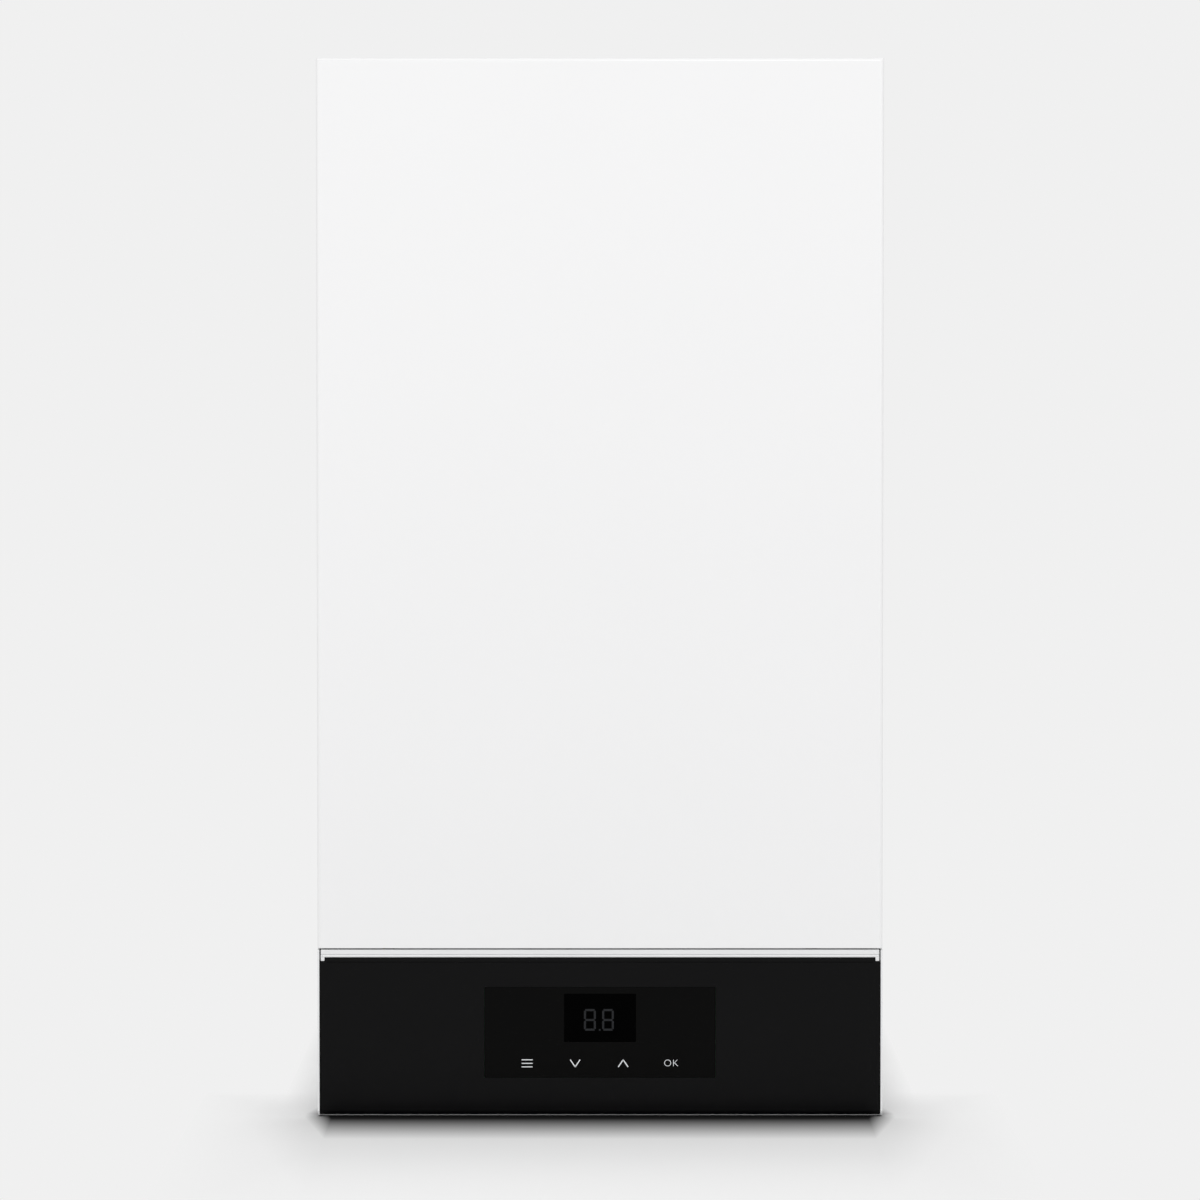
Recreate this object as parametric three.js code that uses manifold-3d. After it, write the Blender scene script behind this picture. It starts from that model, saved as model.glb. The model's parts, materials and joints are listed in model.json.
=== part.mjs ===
// Wall-hung combi boiler: sheet-metal casing, fold-down control unit, heat engine and hydraulics.
// Millimetres, +Z up, front towards -Y, origin at the middle of the footprint.
import * as THREE from 'three';
import { mergeVertices } from 'three/addons/utils/BufferGeometryUtils.js';
import Module from 'manifold-3d';

const wasm = await Module();
wasm.setup();

// ---------------------------------------------------------------- driving dimensions
const width = 400;
const height = 748;
const depth = 300;
const sheet = 1.2;              // casing sheet metal
const gap = 0.3;                // clearance left between pieces that touch
const through = 1;              // how far a cutting tool runs past the face that it opens

// front cover
const coverDepth = 45;
const coverRadius = 3;
const coverFlange = 35;
const coverBottom = 119.8;
const hookSpacing = 240;
const hookWidth = 30;
const hookLength = 10;
const lugThickness = 2;
const sealWidth = 8;
const sealDepth = 5.5;

// casing behind the cover
const returnFlange = 12;
const wallRecess = 12;
const bracketDrop = 48;
const baseHeight = 36;
const railDrop = 22;
const topRailHeight = 25;
const topRailDepth = 12;
const frontRailHeight = 20;
const panelHoleClearance = 1.3;

// quarter-turn cover latches
const latchSpacing = 300;
const latchStud = 3;
const latchHead = 6;
const latchBarLength = 16;
const latchBarWidth = 5;
const latchBarHeight = 3;
const latchNotch = 8;
const latchInset = 22;

// control unit
const controlHeight = 118.7;
const controlDepth = 21;
const hingeRise = 12;           // hinge axis above the bottom edge, also the radius of that edge
const hingeInset = 9;           // hinge axis behind the front face
const rimThickness = 1.3;
const fasciaDepth = 5.7;
const fasciaSkin = 2.5;
const fasciaTop = 113;
const fasciaEdge = 1.2;
const stripRecess = 0.4;
const tabWidth = 2.6;
const tabDrop = 2.7;
const backPlate = 2;
const windowWidth = 164;
const windowHeight = 64.6;
const windowMiddle = 60;
const windowGlass = 1.4;
const displayWidth = 50.8;
const displayHeight = 34.3;
const displayMiddle = 70.2;
const boardThickness = 1.6;
const housingMargin = 15;        // from the outer side of the casing
const housingDepth = 48;
const housingBottom = 14;
const housingTop = 98;
const housingWall = 2;
const pinRadius = 1.5;
const eyeRadius = 2.9;
const armHeight = 5.6;
const armLength = 44;

// flue and heat exchanger
const flueX = 0;
const flueSetback = 50;         // flue axis in front of the heat exchanger's rear wall
const fluePipe = 30;
const flueWall = 3;
const flueDrop = 36;            // from the casing's top to the end of the outlet
const collarInner = 4;          // wall of both collar tubes
const airPipe = 54;
const collarFlange = 64;
const socketOverlap = 12;
const exchangerDrop = 182;
const exchangerInset = 155;     // axis from the outer side of the casing
const exchangerSpare = 160;     // depth that the heat exchanger leaves free
const exchangerRadius = 100;
const exchangerWall = 3;
const exchangerMouth = 90;
const coilInner = 52;
const coilOuter = 88;
const coilMargin = 18;
const coilTurns = 6;
const doorThickness = 10;
const gasketThickness = 3.4;
const burnerRadius = 35;
const burnerFlange = 39;
const burnerWall = 2;
const burnerLength = 90;
const portSpacing = 65;
const portRadius = 12;
const portDrop = 96;
const portSetback = 40;
const drainRadius = 10;
const drainDrop = 114;
const drainSetback = 30;
const electrodeReach = 44;
const electrodeAngle = 150;

// fan, duct and gas valve
const fanInset = 78;            // fan axis from the outer side of the casing
const fanDrop = 41;             // below the heat exchanger's axis
const fanRadius = 60;
const fanLead = 48;             // in front of the heat exchanger
const fanLength = 50;
const fanWall = 2;
const venturiRadius = 30;
const inletRadius = 20;
const venturiLength = 15;
const ductHeight = 42;
const ductDepth = 31;
const ductInset = 62;           // end of the duct from the fan axis
const ductDrum = 30;
const spigotRadius = 27.5;
const spigotLength = 11;
const impellerRadius = 50;
const impellerBlades = 12;
const fanMotorRadius = 38;
const fanMotorLength = 52.7;
const valveWidth = 60;
const valveDepth = 55;
const valveHeight = 90;
const valveDrop = 20;           // below the fan housing
const valvePort = 28;           // gas riser behind the valve's front

// expansion vessel
const vesselRadius = 175;
const vesselDepth = 66;
const vesselDrop = 5;
const vesselClearance = 10.5;   // to the heat exchanger in front of it
const vesselWall = 1.5;
const vesselEdge = 20;

// hydraulics
const tailPitch = 66;
const tailSetback = 65;
const tailRadius = 12;
const tailBore = 8;
const tailBottom = 8;
const blockWidth = 75;
const blockInset = 24;          // from the inner tail's axis
const blockHalfDepth = 30;
const blockBottom = 60;
const blockTop = 200;
const manifoldBottom = 42;
const manifoldTop = 70;
const manifoldDepth = 30;
const plateBottom = 75;
const plateTop = 150;
const plateHalfDepth = 23;
const plateCount = 12;
const pumpInset = 30;           // pump axis from the block's inner side
const pumpZ = 110;
const voluteRadius = 46;
const voluteLength = 46.7;
const pumpCavity = 40;
const pumpCavityDepth = 28;
const pumpMotorRadius = 42;
const pumpMotorLength = 70;
const pipeRadius = 9;
const pipeBore = 7.5;
const pipeBend = 18;
const pipeSides = 10;
const hoseBend = 25;
const gasPipeRadius = 6;
const siphonSetback = 105;      // siphon axis in front of the tails
const siphonRadius = 26;
const siphonTop = 200;
const cupBottom = 12;
const cupRadius = 23;
const knobRadius = 9;
const knobLength = 14.7;
const cockZ = 53;

// ---------------------------------------------------------------- derived places
const halfWidth = width / 2;
const front = -depth / 2;
const back = depth / 2;
const coverBack = front + coverDepth;
const casingFront = coverBack + 0.8;
const hingeY = front + hingeInset;
const hingeZ = hingeRise;
const controlBack = front + controlDepth;
const fasciaBack = front + fasciaDepth;
const plateFace = fasciaBack + 0.2;
const plateRear = plateFace + backPlate;
const rearPanelFace = back - wallRecess;
const topPanelBottom = height - sheet;
const housingX = halfWidth - housingMargin;
const bracketTop = height - bracketDrop;
const flueTop = height - flueDrop;
const exchangerZ = height - exchangerDrop;
const vesselRear = rearPanelFace - sheet - gap;
const exchangerBack = vesselRear - vesselDepth - vesselClearance;
const exchangerLength = depth - exchangerSpare;
const exchangerFront = exchangerBack - exchangerLength;
const coilLength = exchangerLength - coilMargin;
const flueY = exchangerBack - flueSetback;
const portY = exchangerBack - portSetback;
const drainY = exchangerBack - drainSetback;
const portBottom = exchangerZ - portDrop;
const drainBottom = exchangerZ - drainDrop;
const fanX = halfWidth - fanInset;
const fanZ = exchangerZ - fanDrop;
const exchangerX = exchangerInset - halfWidth;
const fanFront = exchangerFront - fanLead;
const fanBack = fanFront + fanLength;
const ductEnd = fanX - ductInset;
const valveFront = fanFront;
const valveBack = valveFront + valveDepth;
const valveTop = fanZ - fanRadius - valveDrop;
const valveBottom = valveTop - valveHeight;
const gasRiserY = valveFront + valvePort;
const vesselZ = bracketTop - vesselDrop - vesselRadius;
const tailY = back - tailSetback;
const blockInner = tailPitch + blockInset;
const blockOuter = blockInner + blockWidth;
const blockFront = tailY - blockHalfDepth;
const blockBack = tailY + blockHalfDepth;
const plateFront = tailY - plateHalfDepth;
const plateBack = tailY + plateHalfDepth;
const pumpX = blockInner + pumpInset;
const siphonX = -pumpX;
const siphonY = tailY - siphonSetback;

// ---------------------------------------------------------------- materials
function finish(color, roughness, metalness) {
  return new THREE.MeshStandardMaterial({ color, roughness, metalness });
}

const whitePaint = finish(0xf2f3f4, 0.35, 0.0);
const whitePlastic = finish(0xe9ebec, 0.4, 0.0);
const blackGloss = finish(0x17181a, 0.2, 0.0);
const blackGlass = finish(0x0b0c0d, 0.08, 0.0);
const greyPlastic = finish(0x4a4d50, 0.55, 0.0);
const redPlastic = finish(0xb8231c, 0.45, 0.0);
const bluePlastic = finish(0x24509a, 0.45, 0.0);
const rubber = finish(0x1c1c1c, 0.85, 0.0);
const zincSteel = finish(0xb4b8ba, 0.45, 0.9);
const stainless = finish(0xc3c5c6, 0.3, 1.0);
const castAluminium = finish(0xa9acae, 0.5, 0.9);
const brass = finish(0xc1a15a, 0.35, 1.0);
const copper = finish(0xb8734a, 0.3, 1.0);
const redPaint = finish(0xa8201b, 0.4, 0.1);
const boardGreen = finish(0x1f5a35, 0.6, 0.0);
const ceramic = finish(0xeeebe2, 0.3, 0.0);
const flueWhite = finish(0xe4e4e0, 0.5, 0.0);

// ---------------------------------------------------------------- solids
function solid(geometry) {
  const bare = geometry.index ? geometry.toNonIndexed() : geometry.clone();
  bare.deleteAttribute('normal');
  bare.deleteAttribute('uv');
  const merged = mergeVertices(bare, 1e-4);
  return new wasm.Manifold(new wasm.Mesh({
    numProp: 3,
    vertProperties: new Float32Array(merged.attributes.position.array),
    triVerts: new Uint32Array(merged.index.array),
  }));
}

function box(x0, x1, y0, y1, z0, z1) {
  const geometry = new THREE.BoxGeometry(x1 - x0, y1 - y0, z1 - z0);
  geometry.translate((x0 + x1) / 2, (y0 + y1) / 2, (z0 + z1) / 2);
  return solid(geometry);
}

// A profile of [radius, distance] points turned about an axis through (a, b).
function turned(axis, a, b, profile, sides = 32) {
  const points = profile.map(([r, d]) => new THREE.Vector2(r, d));
  if (points[0].x > 0 || points[points.length - 1].x > 0) {
    points.push(points[0].clone());
  }
  if (THREE.ShapeUtils.area(points) < 0) {
    points.reverse();
  }
  const geometry = new THREE.LatheGeometry(points, sides);
  if (axis === 'z') {
    geometry.rotateX(Math.PI / 2);
    geometry.translate(a, b, 0);
  } else if (axis === 'y') {
    geometry.translate(a, 0, b);
  } else {
    geometry.rotateZ(-Math.PI / 2);
    geometry.translate(0, a, b);
  }
  return solid(geometry);
}

function rod(axis, a, b, radius, from, to, sides = 24) {
  return turned(axis, a, b, [[0, from], [radius, from], [radius, to], [0, to]], sides);
}

function pipeAlong(axis, a, b, outer, inner, from, to, sides = 32) {
  return turned(axis, a, b, [[inner, from], [outer, from], [outer, to], [inner, to]], sides);
}

// Outlines are [a, b] points in the plane square to the axis.
function outline(points) {
  return new THREE.Shape(points.map(([a, b]) => new THREE.Vector2(a, b)));
}

function alongX(points, x0, x1) {
  const geometry = new THREE.ExtrudeGeometry(outline(points), { depth: x1 - x0, bevelEnabled: false });
  geometry.rotateY(Math.PI / 2);
  geometry.rotateX(Math.PI / 2);
  geometry.translate(x0, 0, 0);
  return solid(geometry);
}

function alongZ(points, z0, z1) {
  const geometry = new THREE.ExtrudeGeometry(outline(points), { depth: z1 - z0, bevelEnabled: false });
  geometry.translate(0, 0, z0);
  return solid(geometry);
}

function arc(a, b, radius, fromDegrees, toDegrees, steps) {
  const points = [];
  for (let i = 0; i <= steps; i += 1) {
    const angle = THREE.MathUtils.degToRad(fromDegrees + (toDegrees - fromDegrees) * i / steps);
    points.push([a + radius * Math.cos(angle), b + radius * Math.sin(angle)]);
  }
  return points;
}

// A path that is sampled exactly at its points, so that a pipe's ends stay square.
class BentPath extends THREE.Curve {
  constructor(points) {
    super();
    this.points = points;
    this.last = points.length - 1;
  }

  getPoint(t) {
    return this.points[Math.round(t * this.last)].clone();
  }

  getPointAt(t) {
    return this.getPoint(t);
  }

  getTangentAt(t) {
    const i = Math.round(t * this.last);
    const tangent = new THREE.Vector3();
    if (i > 0) {
      tangent.add(this.points[i].clone().sub(this.points[i - 1]).normalize());
    }
    if (i < this.last) {
      tangent.add(this.points[i + 1].clone().sub(this.points[i]).normalize());
    }
    return tangent.normalize();
  }
}

// A pipe through corner points, each corner rounded from `bend` before it to `bend` after it.
function bentPipe(corners, radius, bore, bend, sides) {
  const bendSteps = 3;
  const points = corners.map(([x, y, z]) => new THREE.Vector3(x, y, z));
  const route = [points[0]];
  for (let i = 1; i < points.length - 1; i += 1) {
    const entry = points[i - 1].clone().sub(points[i]).setLength(bend).add(points[i]);
    const exit = points[i + 1].clone().sub(points[i]).setLength(bend).add(points[i]);
    route.push(...new THREE.QuadraticBezierCurve3(entry, points[i], exit).getPoints(bendSteps));
  }
  route.push(points[points.length - 1]);
  const section = outline(arc(0, 0, radius, 0, 360 * (sides - 1) / sides, sides - 1));
  if (bore > 0) {
    section.holes.push(outline(arc(0, 0, bore, 0, 360 * (sides - 1) / sides, sides - 1)));
  }
  return solid(new THREE.ExtrudeGeometry(section, {
    steps: route.length - 1,
    bevelEnabled: false,
    extrudePath: new BentPath(route),
  }));
}

function mirroredX(shape) {
  return shape.mirror([1, 0, 0]);
}

// ---------------------------------------------------------------- scene graph
const boiler = new THREE.Group();
const casing = new THREE.Group();
const controlUnit = new THREE.Group();
const heatEngine = new THREE.Group();
const hydraulics = new THREE.Group();
boiler.add(casing, controlUnit, heatEngine, hydraulics);

// Adds a piece to a group. Its mesh is placed at `at`, and its points are measured from there.
function addPart(group, name, shape, material, at = [0, 0, 0]) {
  const result = shape.getMesh();
  const geometry = new THREE.BufferGeometry();
  geometry.setAttribute('position', new THREE.BufferAttribute(result.vertProperties, 3));
  geometry.setIndex(new THREE.BufferAttribute(result.triVerts, 1));
  geometry.translate(-at[0], -at[1], -at[2]);
  geometry.computeVertexNormals();
  const mesh = new THREE.Mesh(geometry, material);
  mesh.name = name;
  mesh.position.set(at[0], at[1], at[2]);
  group.add(mesh);
}

// ---------------------------------------------------------------- casing
const coverInner = halfWidth - sheet;
const coverTop = topPanelBottom;
const lugPlane = coverBack + 0.8 + topPanelBottom - railDrop - 2.6;
const railTop = topPanelBottom - 1.8;
const railBottom = railTop - topRailHeight;

// Solid pan with rounded front edges, the same shape for the outer skin and the space inside it.
function pan(inset) {
  const x = halfWidth - inset;
  const y = front + inset;
  const r = coverRadius - inset;
  const top = height - inset;
  const plan = alongZ([
    [x, coverBack + inset],
    ...arc(x - r, y + r, r, 0, -90, 4),
    ...arc(-x + r, y + r, r, -90, -180, 4),
    [-x, coverBack + inset],
  ], coverBottom, height + through);
  const side = alongX([
    [coverBack + inset, coverBottom + inset],
    [y, coverBottom + inset],
    ...arc(y + r, top - r, r, 180, 90, 4),
    [coverBack + inset, top],
  ], -halfWidth - through, halfWidth + through);
  return plan.intersect(side);
}

// Strip at 45 degrees, `low` to `low + thick` away from the plane y + z = plane.
function slopedStrip(plane, low, thick, yLow, yHigh, x0, x1) {
  const a = low * Math.SQRT2;
  const b = (low + thick) * Math.SQRT2;
  return alongX([
    [yHigh, plane + a - yHigh],
    [yHigh + (b - a) / 2, plane + a - yHigh + (b - a) / 2],
    [yLow + (b - a) / 2, plane + a - yLow + (b - a) / 2],
    [yLow, plane + a - yLow],
  ], x0, x1);
}

function coverHook(x) {
  const x0 = x - hookWidth / 2;
  const x1 = x + hookWidth / 2;
  const hookFront = casingFront - hookLength + 1.2;
  const plate = slopedStrip(lugPlane, gap, 1.5, hookFront, casingFront - 1.8, x0, x1);
  const web = box(x0, x1, hookFront, hookFront + sheet, lugPlane - hookFront + gap * Math.SQRT2,
    coverTop + sheet / 2);
  return plate.add(web);
}

function frontCover() {
  let shape = pan(0).subtract(pan(sheet));
  shape = shape.subtract(
    box(-coverInner, coverInner, front + coverFlange, coverBack + through, coverBottom - 1,
      coverBottom + sheet),
  );
  for (const side of [-1, 1]) {
    shape = shape.add(coverHook(side * hookSpacing / 2));
    shape = shape.subtract(rod('z', side * latchSpacing / 2, front + latchInset, latchStud + gap,
      coverBottom - 1, coverBottom + sheet + 1, 16));
  }
  return shape;
}

function coverSeal() {
  const x = coverInner - gap;
  const top = coverTop - gap;
  const rear = casingFront - gap;
  const outer = box(-x, x, rear - sealDepth, rear, coverBottom + coverFlange, top);
  const inner = box(-x + sealWidth, x - sealWidth, rear - sealDepth - 1, rear + 1,
    coverBottom + coverFlange - 1, top - sealWidth);
  return outer.subtract(inner);
}

function coverLatch(side) {
  const x = side * latchSpacing / 2;
  const y = front + latchInset;
  const barTop = coverBottom - sheet - gap - 1.5;
  return turned('z', x, y, [
    [0, barTop - latchBarHeight],
    [latchStud, barTop - latchBarHeight],
    [latchStud, coverBottom + sheet + gap],
    [latchHead, coverBottom + sheet + gap],
    [latchHead, coverBottom + sheet + 2],
    [0, coverBottom + sheet + 2],
  ], 16).add(box(x - latchBarWidth / 2, x + latchBarWidth / 2,
    y - latchBarLength / 2, y + latchBarLength / 2, barTop - latchBarHeight, barTop));
}

function sidePanel(side) {
  const skin = alongX([
    [back, 0],
    [back, topPanelBottom - gap],
    [casingFront, topPanelBottom - gap],
    [casingFront, coverBottom - 0.6],
    [controlBack + gap, coverBottom - 0.6],
    [controlBack + gap, 0],
  ], halfWidth - sheet, halfWidth);
  const flangeX = halfWidth - returnFlange;
  const frontFlange = box(flangeX, halfWidth - sheet / 2, casingFront, casingFront + sheet,
    coverBottom, topPanelBottom - gap);
  const rearFlange = box(flangeX, halfWidth - sheet / 2, back - sheet, back, 0, topPanelBottom - gap);
  const shape = skin.add(frontFlange).add(rearFlange);
  return side > 0 ? shape : mirroredX(shape);
}

function rearPanel() {
  const x = halfWidth - sheet - gap;
  return box(-x, x, rearPanelFace - sheet, rearPanelFace, baseHeight, topPanelBottom - gap);
}

function topPanel() {
  const panel = box(-halfWidth, halfWidth, casingFront, back, topPanelBottom, height);
  return panel.subtract(rod('z', flueX, flueY, airPipe + panelHoleClearance,
    topPanelBottom - 1, height + 1, 40));
}

const glandX = 60;
const glandInset = 30;
const glandRadius = 9;
const baseFront = controlBack + armLength - 5;
const glandY = baseFront + glandInset;

function basePlate() {
  const x = halfWidth - sheet - gap;
  let plate = box(-x, x, baseFront, rearPanelFace - sheet - gap, baseHeight, baseHeight + sheet);
  for (let i = -2; i <= 2; i += 1) {
    plate = plate.subtract(rod('z', i * tailPitch, tailY, tailRadius + panelHoleClearance,
      baseHeight - 1, baseHeight + sheet + 1, 16));
  }
  plate = plate.subtract(rod('z', siphonX, siphonY, siphonRadius + panelHoleClearance,
    baseHeight - 1, baseHeight + sheet + 1));
  return plate.subtract(rod('z', glandX, glandY, glandRadius + gap,
    baseHeight - 1, baseHeight + sheet + 1));
}


function frontRail() {
  const x = halfWidth - sheet - gap;
  const bottom = coverBottom - gap - sheet;
  const railFront = front + 7;
  const railBack = casingFront + 4;
  let rail = box(-x, x, railFront, railBack, bottom, bottom + sheet);
  rail = rail.add(box(-flangeReach(), flangeReach(), railBack - sheet, railBack, bottom,
    bottom + frontRailHeight));
  for (const side of [-1, 1]) {
    const latchX = side * latchSpacing / 2;
    rail = rail.subtract(box(latchX - latchNotch / 2, latchX + latchNotch / 2,
      railFront - 1, front + latchInset + latchBarLength / 2 + 1, bottom - 1, bottom + sheet + 1));
  }
  return rail;
}

// Half the clear width between the front flanges of the two side panels.
function flangeReach() {
  return halfWidth - returnFlange - gap;
}

function topRail() {
  const x = flangeReach();
  let rail = box(-x, x, casingFront + 0.2, casingFront + 0.2 + sheet, railBottom, railTop);
  rail = rail.add(box(-x, x, casingFront + 0.2, casingFront + topRailDepth, railTop - sheet, railTop));
  for (const side of [-1, 1]) {
    const lugX = side * hookSpacing / 2;
    rail = rail.add(slopedStrip(lugPlane, -lugThickness, lugThickness, casingFront - hookLength,
      casingFront + 1, lugX - hookWidth / 2, lugX + hookWidth / 2));
  }
  return rail;
}

const bracketWidth = 280;
const bracketHeight = 50;
const bracketPlate = 2;
const bracketSlotSpacing = 200;
const bracketSlotWidth = 8;
const bracketSlotHeight = 20;

function wallBracket() {
  const x = bracketWidth / 2;
  const bottom = bracketTop - bracketHeight;
  let bracket = box(-x, x, back - bracketPlate, back, bottom, bracketTop);
  bracket = bracket.add(box(-x, x, rearPanelFace + gap, back, bracketTop - bracketPlate, bracketTop));
  for (const side of [-1, 1]) {
    const slotX = side * bracketSlotSpacing / 2;
    bracket = bracket.subtract(box(slotX - bracketSlotWidth / 2, slotX + bracketSlotWidth / 2,
      back - bracketPlate - 1, back + 1, bottom + 15, bottom + 15 + bracketSlotHeight));
  }
  return bracket;
}

addPart(casing, 'front_cover', frontCover(), whitePaint);
addPart(casing, 'cover_seal', coverSeal(), rubber);
for (const [side, word] of [[-1, 'left'], [1, 'right']]) {
  addPart(casing, `cover_latch_${word}`, coverLatch(side), zincSteel,
    [side * latchSpacing / 2, front + latchInset, coverBottom]);
  addPart(casing, `side_panel_${word}`, sidePanel(side), whitePaint);
}
addPart(casing, 'rear_panel', rearPanel(), zincSteel);
addPart(casing, 'top_panel', topPanel(), whitePaint);
addPart(casing, 'base_plate', basePlate(), zincSteel);
addPart(casing, 'front_rail', frontRail(), zincSteel);
addPart(casing, 'top_rail', topRail(), zincSteel);
addPart(casing, 'wall_bracket', wallBracket(), zincSteel);

// ---------------------------------------------------------------- control unit
// Side outline of the unit: flat front and rear, with a bottom edge rounded about the hinge axis.
function envelope(top, radius, rear) {
  const lowAngle = 180 + THREE.MathUtils.radToDeg(Math.acos(hingeInset / radius));
  return [
    [rear, top],
    [front, top],
    [front, hingeZ - Math.sqrt(radius ** 2 - hingeInset ** 2)],
    ...arc(hingeY, hingeZ, radius, lowAngle, 360, 10).slice(1),
  ];
}

const rimInner = halfWidth - rimThickness;
const windowX = windowWidth / 2;
const windowBottom = windowMiddle - windowHeight / 2;
const windowTop = windowMiddle + windowHeight / 2;
const displayX = displayWidth / 2;
const displayBottom = displayMiddle - displayHeight / 2;
const displayTop = displayMiddle + displayHeight / 2;
const housingFront = plateRear + gap;
const housingBack = front + 10 + housingDepth;
const armInner = rimInner - 1.8;
const armOuter = rimInner - gap;
const bossLength = 11;

function controlCarrier() {
  const outer = alongX(envelope(controlHeight, hingeRise, controlBack), -halfWidth, halfWidth);
  const frontPocket = box(-rimInner, rimInner, front - through, plateFace, rimThickness - 0.1,
    controlHeight + through);
  const rearPocket = alongX([
    [controlBack + through, controlHeight + through],
    [plateRear, controlHeight + through],
    [plateRear, rimThickness],
    [hingeY, rimThickness],
    ...arc(hingeY, hingeZ, hingeRise - rimThickness, 270, 360, 8).slice(1),
    [controlBack + through, hingeZ],
  ], -rimInner, rimInner);
  let shape = outer.subtract(frontPocket).subtract(rearPocket);
  shape = shape.subtract(box(-rimInner, rimInner, plateFace - through, controlBack + through,
    controlHeight - sheet, controlHeight + through));
  for (const side of [-1, 1]) {
    const x0 = Math.min(side * (armInner - gap), side * (rimInner));
    const x1 = Math.max(side * (armInner - gap), side * (rimInner));
    shape = shape.subtract(box(x0, x1, plateFace - through, controlBack + through, -through,
      hingeZ + eyeRadius + 1));
    const bossOut = side * (armInner - gap);
    const bossIn = side * (armInner - gap - bossLength);
    const boss = rod('x', hingeY, hingeZ, eyeRadius, Math.min(bossIn, bossOut), Math.max(bossIn, bossOut));
    const bore = rod('x', hingeY, hingeZ, pinRadius + gap, Math.min(bossIn, bossOut) - 1,
      Math.max(bossIn, bossOut) + 1);
    shape = shape.add(boss).subtract(bore);
  }
  return shape;
}

function controlFascia() {
  const x = rimInner - gap;
  const envelopeSolid = alongX(envelope(fasciaTop, hingeRise, fasciaBack), -x, x);
  let shape = envelopeSolid.intersect(box(-x, x, front, fasciaBack, rimThickness + 0.2, fasciaTop));
  const edge = fasciaEdge;
  shape = shape.subtract(alongX([
    [front - through, fasciaTop - edge - through],
    [front + edge + through, fasciaTop + through],
    [front - through, fasciaTop + through],
  ], -x - 1, x + 1));
  for (const side of [-1, 1]) {
    shape = shape.subtract(box(
      Math.min(side * (x - tabWidth - 1), side * (x + 1)), Math.max(side * (x - tabWidth - 1),
        side * (x + 1)),
      front - 1, fasciaBack + 1, fasciaTop - tabDrop + gap, fasciaTop + 1,
    ));
  }
  const hollowX = windowX + 6;
  shape = shape.subtract(box(-hollowX, hollowX, front + fasciaSkin, fasciaBack + 1,
    windowBottom - 5, windowTop + 5));
  return shape.subtract(box(-windowX, windowX, front - 1, front + fasciaSkin + 1, windowBottom, windowTop));
}

function trimStrip() {
  const x = rimInner - gap - 0.8;
  const bottom = fasciaTop + gap;
  let shape = box(-x, x, front + stripRecess, fasciaBack, bottom, controlHeight);
  for (const side of [-1, 1]) {
    const inner = side * (x - tabWidth);
    shape = shape.add(box(Math.min(inner, side * x), Math.max(inner, side * x),
      front + stripRecess, fasciaBack, bottom - tabDrop, bottom + 1));
  }
  return shape;
}

function touchPanel() {
  const x = windowX - 0.2;
  const panel = box(-x, x, front + 0.2, front + 0.2 + windowGlass, windowBottom + 0.2, windowTop - 0.2);
  return panel.subtract(box(-displayX, displayX, front, front + 0.5, displayBottom, displayTop));
}

function displayModule() {
  const boardY = fasciaBack - boardThickness - 0.2;
  const boardX = windowX + 4;
  const glassFront = front + 0.2 + windowGlass + gap;
  const board = box(-boardX, boardX, boardY, boardY + boardThickness, windowBottom - 3, windowTop + 3);
  return board.add(box(-displayX - 1, displayX + 1, glassFront, boardY + 0.5, displayBottom - 1,
    displayTop + 1));
}

function controlHousing() {
  const lidSpace = 2;
  const outer = box(-housingX, housingX, housingFront, housingBack - lidSpace, housingBottom, housingTop);
  return outer.subtract(box(-housingX + housingWall, housingX - housingWall,
    housingFront + housingWall, housingBack + 1, housingBottom + housingWall, housingTop - housingWall));
}

function housingLid() {
  return box(-housingX, housingX, housingBack - 2 + gap, housingBack, housingBottom, housingTop);
}

function mainBoard() {
  const x = housingX - housingWall - 10;
  const y = housingFront + housingWall + gap;
  const z0 = housingBottom + housingWall + 4;
  const z1 = housingTop - housingWall - 4;
  let board = box(-x, x, y + 6, y + 6 + boardThickness, z0, z1);
  for (const px of [-x + 8, 0, x - 8]) {
    board = board.add(box(px - 4, px + 4, y, y + 6.5, z0 + 4, z0 + 12));
  }
  const parts = [[-130, 24, 26, 30], [-90, 18, 18, 24], [-30, 40, 30, 20], [40, 22, 22, 26], [110,
    60, 20, 16]];
  for (const [px, wide, tall, deep] of parts) {
    board = board.add(box(px - wide / 2, px + wide / 2, y + 7, y + 6 + boardThickness + deep,
      z0 + 20, z0 + 20 + tall));
  }
  return board;
}

// Arm on each side panel, with the pin that the unit swings on.
function hingeBracket(side) {
  const armBack = front + 20 + armLength;
  const arm = box(armInner, armOuter, hingeY, armBack, hingeZ - armHeight / 2, hingeZ + armHeight / 2);
  const eye = rod('x', hingeY, hingeZ, eyeRadius, armInner, armOuter);
  const foot = box(armInner, armOuter, controlBack + 8, armBack, hingeZ - armHeight / 2,
    hingeZ + 2 * armHeight);
  const pin = rod('x', hingeY, hingeZ, pinRadius, armInner - bossLength, armOuter);
  const shape = arm.add(eye).add(foot).add(pin);
  return side > 0 ? shape : mirroredX(shape);
}

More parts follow.
